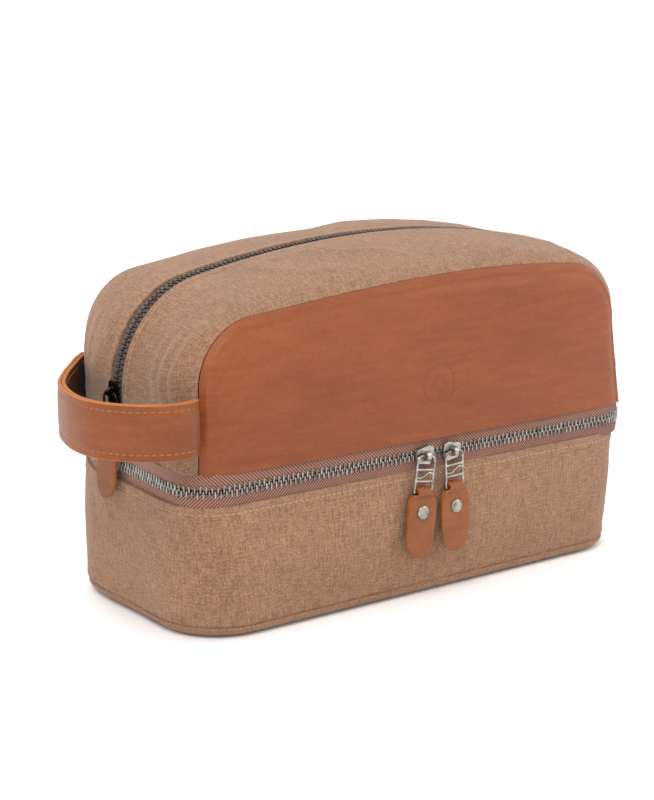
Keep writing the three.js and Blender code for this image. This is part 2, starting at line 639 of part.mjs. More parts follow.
// The leather tab, folded over the frame's lower bar and riveted through both leaves.
// Its origin is that bar.
function pullTab() {
  const loop = BAR_R + TAB_LOOP_GAP;
  const outer = loop + TAB_LEATHER;
  const back = RIVET_DROP + TAB_BACK;
  const start = Math.asin(TAB_LEATHER / outer);
  const profile = new THREE.Shape();
  profile.moveTo(0.1, -TAB_LEN);
  profile.lineTo(TAB_LEATHER, -TAB_LEN);
  profile.lineTo(TAB_LEATHER, -outer * Math.cos(start));
  profile.absarc(0, 0, outer, start - Math.PI / 2, -start - Math.PI / 2 + 2 * Math.PI, false);
  profile.lineTo(-TAB_LEATHER, -back);
  profile.lineTo(0.1, -back);
  profile.closePath();
  profile.holes.push(new THREE.Path().absarc(0, 0, loop, 0, 2 * Math.PI, true));
  const fold = new THREE.ExtrudeGeometry(profile, { depth: TAB_W, bevelEnabled: false, curveSegments: 12 });
  // The profile's x becomes z and its y stays, so that the leaves hang down.
  fold.translate(0, 0, -TAB_W / 2).applyMatrix4(new THREE.Matrix4().makeBasis(
    new THREE.Vector3(0, 0, 1), new THREE.Vector3(0, 1, 0), new THREE.Vector3(-1, 0, 0),
  ));
  const half = TAB_W / 2;
  const neck = FRAME_W / 2 - FRAME_SIDE - GAP;
  const tongue = new THREE.Shape();
  tongue.moveTo(-neck, outer + 1);
  tongue.lineTo(-neck, -2.6);
  tongue.quadraticCurveTo(-half + 0.4, -3.4, -half, -9);
  tongue.lineTo(-half + 0.3, -TAB_LEN + TAB_TIP);
  tongue.quadraticCurveTo(-half + 2.4, -TAB_LEN, 0, -TAB_LEN);
  tongue.quadraticCurveTo(half - 2.4, -TAB_LEN, half - 0.3, -TAB_LEN + TAB_TIP);
  tongue.lineTo(half, -9);
  tongue.quadraticCurveTo(half - 0.4, -3.4, neck, -2.6);
  tongue.lineTo(neck, outer + 1);
  tongue.closePath();
  const depth = 12;
  const cutter = new THREE.ExtrudeGeometry(tongue, { depth, bevelEnabled: false, curveSegments: 5 });
  const hole = new THREE.CylinderGeometry(RIVET_HOLE_R, RIVET_HOLE_R, depth, 12).rotateX(Math.PI / 2);
  const cut = solid(fold).intersect(solid(cutter.translate(0, 0, -depth / 2)));
  return geometryOf(cut.subtract(solid(hole.translate(0, -RIVET_DROP, 0))));
}

// A two-headed rivet whose shank fills the tab's hole. Its origin is the frame's lower bar.
function rivet() {
  const faceZ = TAB_LEATHER + 0.25;
  const profile = [
    [0, -faceZ - 0.6], [2.6, -faceZ - 0.6], [2.9, -faceZ - 0.2], [2.9, -faceZ], [1.3, -faceZ], [1.3, faceZ],
    [3.4, faceZ], [3.4, faceZ + 0.3], [2.5, faceZ + 0.9], [1.3, faceZ + 1.2], [0, faceZ + 1.3],
  ];
  const lathe = new THREE.LatheGeometry(profile.map(([x, y]) => new THREE.Vector2(x, y)), 14);
  return geometryOf(solid(lathe.rotateX(Math.PI / 2).translate(0, -RIVET_DROP, 0)));
}

// Places a slider and its pull. `facing` is the outward direction, `tilt` how far the pull hangs
// outwards, and `lean` and `tabLean` how far the ladder and the leather hang sideways.
function makeSlider(name, position, facing, run, [tilt, lean, tabLean], look) {
  const up = new THREE.Vector3(0, 0, 1);
  const across = new THREE.Vector3().crossVectors(up, facing);
  const place = new THREE.Matrix4().makeBasis(across, up, facing).setPosition(position);
  const tilted = place.clone().multiply(new THREE.Matrix4().makeRotationX(-tilt));
  const hang = tilted.clone().multiply(new THREE.Matrix4().makeRotationZ(lean));
  const bar = new THREE.Vector3(0, -FRAME_DROP, 0).applyMatrix4(hang);
  const tab = tilted.clone().setPosition(bar).multiply(new THREE.Matrix4().makeRotationZ(tabLean));
  add(`${name}_slider`, sliderBody(run).applyMatrix4(place), look);
  add(`${name}_pull_frame`, pullFrame().applyMatrix4(hang), look);
  add(`${name}_pull_tab`, pullTab().applyMatrix4(tab), 'strap');
  add(`${name}_pull_rivet`, rivet().applyMatrix4(tab), 'nickel');
}

function makeSliders() {
  const degrees = THREE.MathUtils.degToRad;
  const front = new THREE.Vector3(0, -1, 0);
  const axisY = -BAND.b + TOOTH_THICK / 2 - PIN_OUT;
  const left = new THREE.Vector3(LEFT_SLIDER_X, axisY, ZIP_Z);
  const right = new THREE.Vector3(RIGHT_SLIDER_X, axisY, ZIP_Z);
  makeSlider('left', left, front, 0, [0, degrees(-8), degrees(-5)], 'nickel');
  makeSlider('right', right, front, Math.PI, [0, degrees(2), degrees(1)], 'nickel');
  const topOut = CROWN.left.side - TOP_CHAIN_RISE + TOOTH_THICK / 2 - PIN_OUT;
  const top = new THREE.Vector3(topOut, 0, TOP_SLIDER_Z);
  makeSlider('top', top, new THREE.Vector3(-1, 0, 0), -Math.PI / 2, [degrees(4), 0, 0], 'gunmetal');
}

makeTray();
makeZipBand();
makePanels();
makeGussets();
makeCompartmentInside();
makeTopZip();
makeStrap();
makeSliders();

export default bag;
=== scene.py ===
"""Looks of the shaving kit bag: canvas, leather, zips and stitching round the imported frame.

Shapes are worked out in millimetres and turned into metres where a mesh is made. Grids of points
are (rows, columns, 3), and P is the outer face of a sheet before it is thickened."""
import math

import bmesh
import bpy
import numpy as np
from mathutils import Matrix, Vector


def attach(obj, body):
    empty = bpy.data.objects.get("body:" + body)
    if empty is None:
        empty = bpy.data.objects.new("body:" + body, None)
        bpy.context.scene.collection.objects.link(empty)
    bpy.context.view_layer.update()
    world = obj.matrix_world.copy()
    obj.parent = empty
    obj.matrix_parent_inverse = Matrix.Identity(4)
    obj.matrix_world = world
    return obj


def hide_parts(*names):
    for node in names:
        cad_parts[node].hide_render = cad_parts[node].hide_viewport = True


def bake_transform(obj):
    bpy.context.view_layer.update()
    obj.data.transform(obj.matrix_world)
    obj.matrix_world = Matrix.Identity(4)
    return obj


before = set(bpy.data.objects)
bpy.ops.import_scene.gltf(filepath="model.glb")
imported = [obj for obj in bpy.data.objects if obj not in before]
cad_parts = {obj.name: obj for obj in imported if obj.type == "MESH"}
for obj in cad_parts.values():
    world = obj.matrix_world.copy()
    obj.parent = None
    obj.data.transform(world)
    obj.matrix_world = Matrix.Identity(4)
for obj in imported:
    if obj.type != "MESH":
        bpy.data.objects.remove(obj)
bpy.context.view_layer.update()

MM = 0.001

# ---- Driving dimensions, in millimetres ---------------------------------------------------------

# Outlines seen from above: half depth, then for the left and right ends the distance from the
# middle, the corner radius, how far the middle is pinched in and the rear corner tucked in.
FOOT = np.array([59.5, 127.5, 29, 0.5, 6, 132, 27, 0.5, 0])
HEEL = np.array([64.5, 132.5, 31, 1, 10, 137, 28, 1, 0])
RIM = np.array([72.5, 139, 21, 3.6, 28, 138, 36, 3.6, 0])
BAND = np.array([73.4, 139.6, 20, 4, 28, 139, 30, 4, 0])
DIVIDER_IN, DIVIDER_Z = 2.1, 78.2  # how far inside the zip band the divider's cloth ends; its height
TUCK_Y, TUCK_X = (8, 80), 110
RIM_Z, ZIP_Z, LID_Z = 66.0, 73.0, 80.3
SEAM_Y, SLOT, ZIP_END_Z = 66.5, 5.2, 100.0
FRONT_SEAM = dict(left=(-133, -132.5, 118, 30, 84), right=(128, 120, 126, 29, 84))
REAR_SEAM = dict(left=(-109, -108, 125.6, 26, 84), right=(131, 127, 130, 31, 84))
CROWN = dict(left=(-134, -134, 107, 52, 78), right=(135.5, 135, 126, 38, 80))  # foot, side, z, r, sweep
END_BULGE, TOP_BULGE = {-1: 9.0, 1: 4.0}, 3.0
PANEL_LIFT, PANEL_SOFT, PANEL_CROWN = 5.6, 4.5, 2.0
PITCH = 2.65  # zip teeth, per side
TOOTH = 2.4
STRAP_LINE = [
    (-133.8, -71), (-142, -75.5), (-153, -75), (-163, -69), (-171.5, -58.5), (-176, -46), (-175.5, -30),
    (-170, -12), (-163, 3), (-154, 17.5), (-143.5, 33), (-132.5, 47), (-122.5, 59.5), (-113, 69.5),
]
STRAP_Z = (91.5, 116.0)
STRAP_LAYER = 1.7
STRAP_SEAM = 3.0  # from the strap's edge to its stitches
STRAP_START = 2.4  # how much of the strap's line lies under the front panel's edge
STRAP_DROOP = 3.0  # how much lower the strap's rear half hangs
CANVAS_THICK, WALL_THICK, LEATHER_THICK, TAPE_THICK = 2.2, 2.3, 2.0, 0.7
CLOTH_STITCH = (3.1, 2.3, 0.34)  # spacing, length and radius of the stitches on canvas
STRAP_STITCH = (3.2, 2.4, 0.4)

# ---- Noise and small maths ----------------------------------------------------------------------


def smooth(x, low, high):
    t = np.clip((x - low) / (high - low), 0, 1)
    return t * t * (3 - 2 * t)


def noise(points, size, seed=0):
    """Smooth value noise from -1 to 1 at points (..., 3), with cells of the given size."""
    q = np.asarray(points, float) / size + 100.0 + 17.31 * seed
    base = np.floor(q).astype(np.int64)
    f = q - base
    f = f * f * (3 - 2 * f)
    total = 0
    for corner in range(8):
        d = np.array([corner & 1, corner >> 1 & 1, corner >> 2 & 1])
        c = base + d
        h = (c[..., 0] * 73856093) ^ (c[..., 1] * 19349663) ^ (c[..., 2] * 83492791) ^ (seed * 2654435)
        h = (h ^ (h >> 13)) * 1274126177 & 0x7FFFFFFF
        value = (h / 0x7FFFFFFF) * 2 - 1
        total = total + value * np.prod(np.where(d, f, 1 - f), axis=-1)
    return total


def spread(a, b, n):
    return np.linspace(a, b, n)


def arc_length(points):
    steps = np.linalg.norm(np.diff(points, axis=0), axis=1)
    return np.concatenate([[0], np.cumsum(steps)])


def resample(points, count):
    s = arc_length(points)
    return along(np.linspace(0, s[-1], count), s, points)


def grid_normals(P, closed=False):
    """Unit normals of a grid (rows, cols, 3): along columns cross along rows."""
    du = np.gradient(P, axis=1)
    if closed:
        du[:, 0] = du[:, -1] = (P[:, 1] - P[:, -2]) / 2
    dv = np.gradient(P, axis=0)
    n = np.cross(du, dv)
    return n / np.maximum(np.linalg.norm(n, axis=2, keepdims=True), 1e-9)


# ---- Meshes --------------------------------------------------------------------------------------


def new_object(name, verts, faces, uvs=None, material=None):
    mesh = bpy.data.meshes.new(name)
    mesh.from_pydata((np.asarray(verts) * MM).tolist(), [], [tuple(f) for f in faces])
    if uvs is not None:
        layer = mesh.uv_layers.new(name="cloth")
        layer.data.foreach_set("uv", (np.asarray(uvs, float).reshape(-1) * 0.1))
    mesh.update()
    mesh.shade_smooth()
    obj = bpy.data.objects.new(name, mesh)
    bpy.context.scene.collection.objects.link(obj)
    if material:
        obj.data.materials.append(material)
    return obj


def cloth_map(u, v):
    return np.stack(np.broadcast_arrays(u, v), axis=-1)


def sheet_mesh(name, P, thick, material, bevel, uv=None, closed=False, flip=False):
    """A sheet from a grid of its outer face, thickened inwards. `closed` joins the last column to
    the first; the grid then repeats its first column at the end."""
    rows, cols = P.shape[:2]
    count = cols - 1 if closed else cols
    verts = P[:, :count].reshape(-1, 3)
    if uv is None:
        u = np.concatenate([[0], np.cumsum(np.linalg.norm(np.diff(P[rows // 2], axis=0), axis=1))])
        v = np.concatenate([[0], np.cumsum(np.linalg.norm(np.diff(P[:, cols // 2], axis=0), axis=1))])
        uv = cloth_map(u[None, :], v[:, None])
    i, j = np.meshgrid(np.arange(rows - 1), np.arange(cols - 1), indexing="ij")
    i, j = i.ravel(), j.ravel()
    k = (j + 1) % count
    quads = np.stack([i * count + j, i * count + k, (i + 1) * count + k, (i + 1) * count + j], axis=1)
    corners = np.stack([uv[i, j], uv[i, j + 1], uv[i + 1, j + 1], uv[i + 1, j]], axis=1)
    if flip:
        quads, corners = quads[:, ::-1], corners[:, ::-1]
    obj = new_object(name, verts, quads, corners, material)
    solidify = obj.modifiers.new("thickness", "SOLIDIFY")
    solidify.thickness = thick * MM
    solidify.offset = -1
    if bevel:
        edge = obj.modifiers.new("edge", "BEVEL")
        edge.width = bevel * MM
        edge.segments = 3
        edge.limit_method = "ANGLE"
        edge.angle_limit = math.radians(60)
    return obj


def apply_modifiers(obj):
    evaluated = obj.evaluated_get(bpy.context.evaluated_depsgraph_get())
    mesh = bpy.data.meshes.new_from_object(evaluated)
    obj.modifiers.clear()
    obj.data = mesh
    return obj


def copies(name, unit, faces, places, material):
    """One mesh of many copies of a small closed unit; places are 4x4 matrices in millimetres."""
    unit = np.asarray(unit, float)
    verts, all_faces = [], []
    for n, m in enumerate(places):
        m = np.asarray(m)
        verts.append(unit @ m[:3, :3].T + m[:3, 3])
        all_faces.extend([tuple(v + n * len(unit) for v in f) for f in faces])
    return new_object(name, np.concatenate(verts), all_faces, None, material)


def tube_faces(rings, sides):
    """The side faces of a tube whose points run ring by ring."""
    turns = [(j, (j + 1) % sides) for j in range(sides)]
    return [(a + j, a + k, a + sides + k, a + sides + j)
            for a in range(0, (rings - 1) * sides, sides) for j, k in turns]


def matrix(origin, x, y, z):
    m = np.eye(4)
    m[:3, 0], m[:3, 1], m[:3, 2], m[:3, 3] = x, y, z, origin
    return m


def place(obj, body, slot, *nodes):
    """Says which body a piece rides and the CAD nodes it stands for; the slot argument is not used."""
    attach(obj, body)
    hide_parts(*nodes)


def capsule(length, radius):
    """A stitch: a rounded thread along x, a little flattened."""
    flat, sides, rings = 0.75, 8, 5
    verts, faces = [], []
    for i in range(rings + 1):
        t = -1 + 2 * i / rings
        swell = math.sqrt(max(1 - abs(t) ** 3.2, 0.0)) * 0.92 + 0.08
        for j in range(sides):
            angle = 2 * math.pi * j / sides
            y, z = math.cos(angle) * radius * swell, math.sin(angle) * radius * flat * swell
            verts.append((t * length / 2, y, z))
    faces += tube_faces(rings + 1, sides)
    faces.append(tuple(range(sides - 1, -1, -1)))
    faces.append(tuple(rings * sides + j for j in range(sides)))
    return verts, faces


def along(at, lengths, values):
    """The columns of values, given at the lengths along a line, read at other lengths."""
    return np.stack([np.interp(at, lengths, values[:, k]) for k in range(values.shape[1])], axis=1)


def stitch_row(name, line, out, pitch, length, radius, material, body, slant, sink):
    """A row of stitches along a line of points with outward directions."""
    s = arc_length(line)
    count = max(int(s[-1] / pitch), 2)
    at = (np.arange(count) + 0.5) * s[-1] / count
    point, normal = along(at, s, line), along(at, s, out)
    ahead = along(at + 0.5, s, line) - along(at - 0.5, s, line)
    unit, faces = capsule(length, radius)
    places = []
    for i in range(count):
        z = normal[i] / np.linalg.norm(normal[i])
        x = ahead[i] - z * np.dot(ahead[i], z)
        x /= np.linalg.norm(x)
        y = np.cross(z, x)
        c, d = math.cos(slant), math.sin(slant)
        x, y = x * c + y * d, y * c - x * d
        places.append(matrix(point[i] - z * sink, x, y, z))
    row = copies(name, unit, faces, places, material)
    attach(row, body)
    return row


# ---- Outlines ------------------------------------------------------------------------------------


def plan_loop(spec, density=1.0):
    """A closed outline seen from above: rear middle, left end, front, right end. Its sections have
    the same number of points whatever the spec, so that outlines at different heights match.
    Also the numbers of its points where the rear corners start."""
    n_long, n_corner, n_end = int(100 * density), int(26 * density), int(88 * density)
    b = spec[0]

    def corner(cx, cy, r, start):
        t = start + spread(0, math.pi / 2, n_corner)
        return np.stack([cx + r * np.cos(t), cy + r * np.sin(t)], axis=1)

    def half(a, r, pinch, tuck):
        y = spread(b - r, -(b - r), n_end)[1:-1]
        bend = pinch * (1 - (y / (b - r)) ** 2) ** 2
        x_long = spread(0, a - r, n_long)
        points = np.concatenate([
            np.stack([-x_long[:-1], np.full(n_long - 1, b)], axis=1),
            corner(-(a - r), b - r, r, math.pi / 2),
            np.stack([-(a - bend), y], axis=1),
            corner(-(a - r), -(b - r), r, math.pi),
            np.stack([-x_long[::-1][1:], np.full(n_long - 1, -b)], axis=1),
        ])
        points[:, 0] += tuck * smooth(points[:, 1], *TUCK_Y) * np.minimum((points[:, 0] / TUCK_X) ** 2, 1)
        return points

    left, right = half(*spec[1:5]), half(*spec[5:9])[::-1] * [-1, 1]
    loop = np.concatenate([left, right[1:]])
    first = n_long - 1
    return loop, (first, len(loop) - 1 - first)


def mix(p, q, t):
    return p + (q - p) * t


def inset(spec, d):
    return spec - d * np.array([1, 1, 1, 0, 0, 1, 1, 0, 0])


def plan_normals(loop):
    """Outward directions of a closed outline."""
    d = np.roll(loop, -1, axis=0) - np.roll(loop, 1, axis=0)
    d[0] = loop[1] - loop[-2]
    d[-1] = d[0]
    n = np.stack([d[:, 1], -d[:, 0]], axis=1)
    return n / np.linalg.norm(n, axis=1, keepdims=True)


def arch(spec, foot, steps=(24, 44, 170)):
    """An arch in XZ with its outward directions, as in the CAD model."""
    n_side, n_arc, n_top = steps

    def side(s):
        foot_x, x, z = s[0], s[1], s[2]
        start = foot_x + (x - foot_x) * (foot - 80) / (z - 80)
        t = spread(0, 1, n_side + 1)[:-1]
        return np.stack([start + (x - start) * t, foot + (z - foot) * t], axis=1)

    def shoulder(s, way):
        x, z, r, sweep = s[1:]
        t = np.radians(sweep) * spread(0, 1, n_arc + 1)
        return np.stack([x + way * r * (1 - np.cos(t)), z + r * np.sin(t)], axis=1)

    left, right = spec["left"], spec["right"]
    la, ra = shoulder(left, 1), shoulder(right, -1)
    (x0, z0), (x1, z1) = la[-1], ra[-1]
    span = x1 - x0
    m0, m1 = span / math.tan(math.radians(left[4])), -span / math.tan(math.radians(right[4]))
    t = spread(0, 1, n_top + 1)[1:-1]
    z = ((2 * t**3 - 3 * t**2 + 1) * z0 + (t**3 - 2 * t**2 + t) * m0
         + (3 * t**2 - 2 * t**3) * z1 + (t**3 - t**2) * m1)
    top = np.stack([x0 + span * t, z], axis=1)
    points = np.concatenate([side(left), la, top, ra[::-1], side(right)[::-1]])
    d = np.gradient(points, axis=0)
    out = np.stack([-d[:, 1], d[:, 0]], axis=1)
    return points, out / np.linalg.norm(out, axis=1, keepdims=True)


def band_row(y, foot, steps=(24, 44, 170), depth=0.0):
    seam, out = arch(FRONT_SEAM if y < 0 else REAR_SEAM, foot, steps)
    crown, _ = arch(CROWN, foot, steps)
    w = min(abs(y) / SEAM_Y, 1.0)
    topness = np.maximum(out[:, 1], 0) ** 2
    end = END_BULGE[-1 if y < 0 else 1]
    bulge = (end + (TOP_BULGE - end) * topness) * w * w * (1 - w**10) - depth
    p = seam + (crown - seam) * (1 - w * w) + out * bulge[:, None]
    p[:, 1] = np.maximum(p[:, 1], foot)
    return np.stack([p[:, 0], np.full(len(p), y), p[:, 1]], axis=1)


def panel_grid(spec, front, foot, rows, steps):
    edge, _ = arch(spec, foot, steps)
    t = np.concatenate([spread(0, 0.14, rows // 3), spread(0.14, 1, rows - rows // 3 + 1)[1:]])
    x = edge[None, :, 0] * (1 - 0.35 * t[:, None])
    z = foot + (edge[None, :, 1] - foot) * (1 - t[:, None])
    d = np.hypot(x - edge[:, 0], z - edge[:, 1])
    lift = PANEL_LIFT * (1 - np.exp(-d / PANEL_SOFT)) + PANEL_CROWN * np.sin(np.minimum(d / 60, 1) * 1.57)
    return np.stack([x, front * (SEAM_Y + lift), z], axis=-1), d


# ---- Materials -----------------------------------------------------------------------------------


class Nodes:
    """A short way to write a node material."""

    def __init__(self, name):
        self.material = bpy.data.materials.new(name)
        self.material.use_nodes = True
        self.tree = self.material.node_tree
        self.shader = self.tree.nodes["Principled BSDF"]

    def node(self, kind, **settings):
        made = self.tree.nodes.new("ShaderNode" + kind)
        for key, value in settings.items():
            if key in made.inputs:
                made.inputs[key].default_value = value
            else:
                setattr(made, key, value)
        return made

    def link(self, a, b):
        self.tree.links.new(a, b)

    def coords(self, scale=(1, 1, 1), source="object"):
        if source == "cloth":
            vector = self.node("UVMap", uv_map="cloth").outputs["UV"]
        else:
            vector = self.node("TexCoord").outputs["Object"]
        mapping = self.node("Mapping", Scale=scale)
        self.link(vector, mapping.inputs["Vector"])
        return mapping.outputs["Vector"]

    def noise(self, vector, scale, detail=2.0, rough=0.5):
        made = self.node("TexNoise", Scale=scale, Detail=detail, Roughness=rough)
        self.link(vector, made.inputs["Vector"])
        return made.outputs["Fac"]

    def wave(self, vector, period, distortion, direction, detail_scale):
        reach = math.pi / (5 if direction == "DIAGONAL" else 10)
        made = self.node("TexWave", Scale=reach / period, Distortion=distortion)
        made.bands_direction = direction
        made.inputs["Detail Scale"].default_value = detail_scale
        self.link(vector, made.inputs["Vector"])
        return made.outputs["Fac"]

    def ramp(self, fac, stops):
        made = self.node("ValToRGB")
        ramp = made.color_ramp
        while len(ramp.elements) < len(stops):
            ramp.elements.new(0.5)
        for element, (at, color) in zip(ramp.elements, stops):
            element.position = at
            element.color = (*color, 1) if len(color) == 3 else color
        self.link(fac, made.inputs["Fac"])
        return made.outputs["Color"]

    def mix(self, fac, a, b, kind="MIX"):
        made = self.node("Mix", data_type="RGBA", blend_type=kind)
        sockets = [s for s in made.inputs if s.enabled]
        for socket, value in zip(sockets, (fac, a, b)):
            if hasattr(value, "links"):
                self.link(value, socket)
            else:
                socket.default_value = (*value, 1) if isinstance(value, tuple) else value
        return [s for s in made.outputs if s.enabled][0]

    def math(self, kind, a, b):
        made = self.node("Math", operation=kind)
        for socket, value in zip(made.inputs, (a, b)):
            if hasattr(value, "links"):
                self.link(value, socket)
            else:
                socket.default_value = value
        return made.outputs[0]

    def bump(self, height, strength, distance, below=None):
        made = self.node("Bump", Strength=strength, Distance=distance)
        self.link(height, made.inputs["Height"])
        if below is not None:
            self.link(below, made.inputs["Normal"])
        return made.outputs["Normal"]


def srgb(r, g, b):
    def one(v):
        v /= 255
        return v / 12.92 if v <= 0.04045 else ((v + 0.055) / 1.055) ** 2.4
    return (one(r), one(g), one(b))


def scaled(color, k):
    return tuple(c * k for c in color)


# The "cloth" map counts centimetres, so a pattern of 10 / n per unit is n millimetres long.
THREAD = 0.9  # millimetres between threads of the canvas


def canvas_material(name, color, light=1.3, dark=0.68, thread=THREAD, sheen=0.15):
    """Heathered canvas: uneven warp and weft threads, lighter and darker by turns."""
    n = Nodes(name)
    cloth = n.coords((1, 1, 1), "cloth")
    count = 10 / thread
    warp_tone = n.noise(n.coords((count * 0.9, count * 0.12, 1), "cloth"), 1.0, 2, 0.6)
    weft_tone = n.noise(n.coords((count * 0.16, count * 0.9, 1), "cloth"), 1.0, 2, 0.6)
    speck = n.noise(cloth, count * 1.1, 2, 0.7)
    cloud = n.noise(cloth, 0.3, 3, 0.55)
    threads = n.math("ADD", n.math("MULTIPLY", warp_tone, 0.55), n.math("MULTIPLY", weft_tone, 0.45))
    tone = n.math("ADD", n.math("MULTIPLY", threads, 0.5), n.math("MULTIPLY", speck, 0.5))
    base = n.ramp(tone, [(0.37, scaled(color, dark)), (0.5, color), (0.63, scaled(color, light))])
    worn = n.ramp(cloud, [(0.35, (0.93, 0.92, 0.91)), (0.65, (1.05, 1.05, 1.05))])
    n.link(n.mix(1.0, base, worn, "MULTIPLY"), n.shader.inputs["Base Color"])
    warp = n.wave(cloth, 1 / count, 0.8, "X", 2.0)
    weft = n.wave(cloth, 1 / count, 0.8, "Y", 2.0)
    twill = n.wave(cloth, 2 / count, 0.6, "DIAGONAL", 2.0)
    weave = n.math("ADD", n.math("MAXIMUM", warp, weft), n.math("MULTIPLY", twill, 0.5))
    relief = n.math("ADD", n.math("MULTIPLY", weave, 0.5), n.math("MULTIPLY", threads, 1.4))
    n.link(n.bump(relief, 0.6, 0.00022), n.shader.inputs["Normal"])
    n.shader.inputs["Roughness"].default_value = 0.9
    n.shader.inputs["Specular IOR Level"].default_value = 0.2
    n.shader.inputs["Sheen Weight"].default_value = sheen
    n.shader.inputs["Sheen Roughness"].default_value = 0.5
    n.shader.inputs["Sheen Tint"].default_value = (1.0, 0.92, 0.85, 1)
    return n.material


def leather_material(name, color, light, dark, rough=0.46, mottle=0.03, grain_size=900):
    """Waxed pull-up leather: soft patches, faint scratches and a fine grain."""
    n = Nodes(name)
    spot = n.coords()
    patches = n.noise(n.coords((0.5, 1, 1.2)), 1 / mottle, 4, 0.55)
    broad = n.noise(n.coords((0.5, 1, 1.5)), 9.0, 2, 0.5)
    fine = n.noise(spot, 420, 3, 0.65)
    scratch = n.noise(n.coords((1, 1, 7)), 45, 3, 0.7)
    tone = n.math("ADD", n.math("MULTIPLY", patches, 0.35), n.math("MULTIPLY", broad, 0.65))
    base = n.ramp(tone, [(0.3, dark), (0.5, color), (0.7, light)])
    speck = n.ramp(fine, [(0.35, (0.93, 0.92, 0.91)), (0.6, (1.03, 1.03, 1.02))])
    lines = n.ramp(scratch, [(0.42, (0.95, 0.94, 0.93)), (0.5, (1, 1, 1)), (0.66, (1.09, 1.1, 1.1))])
    dyed = n.mix(1.0, n.mix(1.0, base, speck, "MULTIPLY"), lines, "MULTIPLY")
    n.link(dyed, n.shader.inputs["Base Color"])
    pores = n.node("TexVoronoi", Scale=grain_size, feature="DISTANCE_TO_EDGE")
    n.link(spot, pores.inputs["Vector"])
    pebble = n.math("MINIMUM", pores.outputs["Distance"], 0.22)
    relief = n.bump(n.math("ADD", pebble, n.math("MULTIPLY", fine, 0.25)), 0.25, 0.0001)
    n.link(n.bump(patches, 0.12, 0.0005, relief), n.shader.inputs["Normal"])
    shine = n.ramp(tone, [(0.36, (rough - 0.05,) * 3), (0.64, (rough + 0.08,) * 3)])
    n.link(shine, n.shader.inputs["Roughness"])
    n.shader.inputs["Specular IOR Level"].default_value = 0.3
    return n.material


def metal_material(name, color, rough=0.34, dark=0.35):
    n = Nodes(name)
    spot = n.coords()
    cloud = n.noise(spot, 260, 4, 0.6)
    scratch = n.noise(n.coords((1, 1, 8)), 500, 3, 0.6)
    base = n.ramp(cloud, [(0.3, scaled(color, dark)), (0.62, color)])
    n.link(base, n.shader.inputs["Base Color"])
    n.shader.inputs["Metallic"].default_value = 1.0
    shine = n.ramp(scratch, [(0.3, (rough - 0.08,) * 3), (0.7, (rough + 0.14,) * 3)])
    n.link(shine, n.shader.inputs["Roughness"])
    n.link(n.bump(scratch, 0.12, 0.00008), n.shader.inputs["Normal"])
    return n.material


def tape_material(name, color, light, dark):
    n = Nodes(name)
    ribs = n.wave(n.coords((1, 1, 1), "cloth"), 0.18, 0.5, "X", 1.0)
    grain = n.noise(n.coords((1, 1, 1), "cloth"), 14, 3, 0.6)
    tone = n.math("ADD", n.math("MULTIPLY", ribs, 0.6), n.math("MULTIPLY", grain, 0.4))
    n.link(n.ramp(tone, [(0.25, dark), (0.5, color), (0.75, light)]), n.shader.inputs["Base Color"])
    n.link(n.bump(tone, 0.5, 0.0003), n.shader.inputs["Normal"])
    n.shader.inputs["Roughness"].default_value = 0.8
    n.shader.inputs["Sheen Weight"].default_value = 0.2
    return n.material


def thread_material(name, color):
    n = Nodes(name)
    twist = n.wave(n.coords((1, 1, 1)), 0.0006, 1.0, "DIAGONAL", 1.0)
    base = n.ramp(twist, [(0.2, scaled(color, 0.75)), (0.8, scaled(color, 1.1))])
    n.link(base, n.shader.inputs["Base Color"])
    n.link(n.bump(twist, 0.3, 0.0001), n.shader.inputs["Normal"])
    n.shader.inputs["Roughness"].default_value = 0.6
    return n.material


def board_material(name, color):
    n = Nodes(name)
    fleck = n.noise(n.coords(), 160, 4, 0.6)
    base = n.ramp(fleck, [(0.35, scaled(color, 0.85)), (0.65, scaled(color, 1.1))])
    n.link(base, n.shader.inputs["Base Color"])
    n.link(n.bump(fleck, 0.2, 0.0003), n.shader.inputs["Normal"])
    n.shader.inputs["Roughness"].default_value = 0.85
    return n.material


CANVAS = canvas_material("waxed_canvas", srgb(141, 106, 82), 1.6, 0.5)
LINER = canvas_material("lining_cloth", srgb(104, 82, 66), 1.15, 0.85, 0.6, 0.1)
LEATHER = leather_material("panel_leather", srgb(134, 69, 32), srgb(150, 81, 42), srgb(117, 57, 24))
STRAP = leather_material("strap_leather",
                         srgb(124, 65, 28), srgb(139, 78, 38), srgb(107, 53, 20), 0.4, 0.02)
TAB = leather_material("tab_leather", srgb(132, 76, 40), srgb(148, 90, 52), srgb(114, 62, 31), 0.5, 0.012)
STRAP_BACK = leather_material("strap_back",
                              srgb(86, 50, 32), srgb(100, 60, 40), srgb(70, 40, 26), 0.7, 0.02)
RAW_EDGE = leather_material("raw_edge",
                            srgb(168, 100, 46), srgb(190, 122, 64), srgb(136, 74, 32), 0.7, 0.006, 1400)
TAPE = tape_material("zip_tape", srgb(130, 86, 68), srgb(158, 112, 92), srgb(84, 52, 42))
DARK_TAPE = tape_material("top_zip_tape", srgb(86, 62, 54), srgb(110, 84, 74), srgb(52, 36, 32))
NICKEL = metal_material("antique_nickel", srgb(182, 176, 168), 0.28, 0.35)
# The teeth are the same antique nickel as the other parts. It is set a little darker here as painted shade
# for the dark gaps between them.
CHAIN_METAL = metal_material("nickel_chain", srgb(168, 164, 158), 0.28, 0.3)
DARK_METAL = metal_material("gunmetal", srgb(92, 84, 78), 0.36, 0.4)
BLACK_METAL = metal_material("black_slider", srgb(52, 48, 46), 0.28, 0.5)
THREAD_TAN = thread_material("tan_thread", srgb(176, 138, 106))
THREAD_ORANGE = thread_material("orange_thread", srgb(160, 90, 46))
BOARD = board_material("stiffener", srgb(132, 120, 104))

# ---- Cloth relief --------------------------------------------------------------------------------


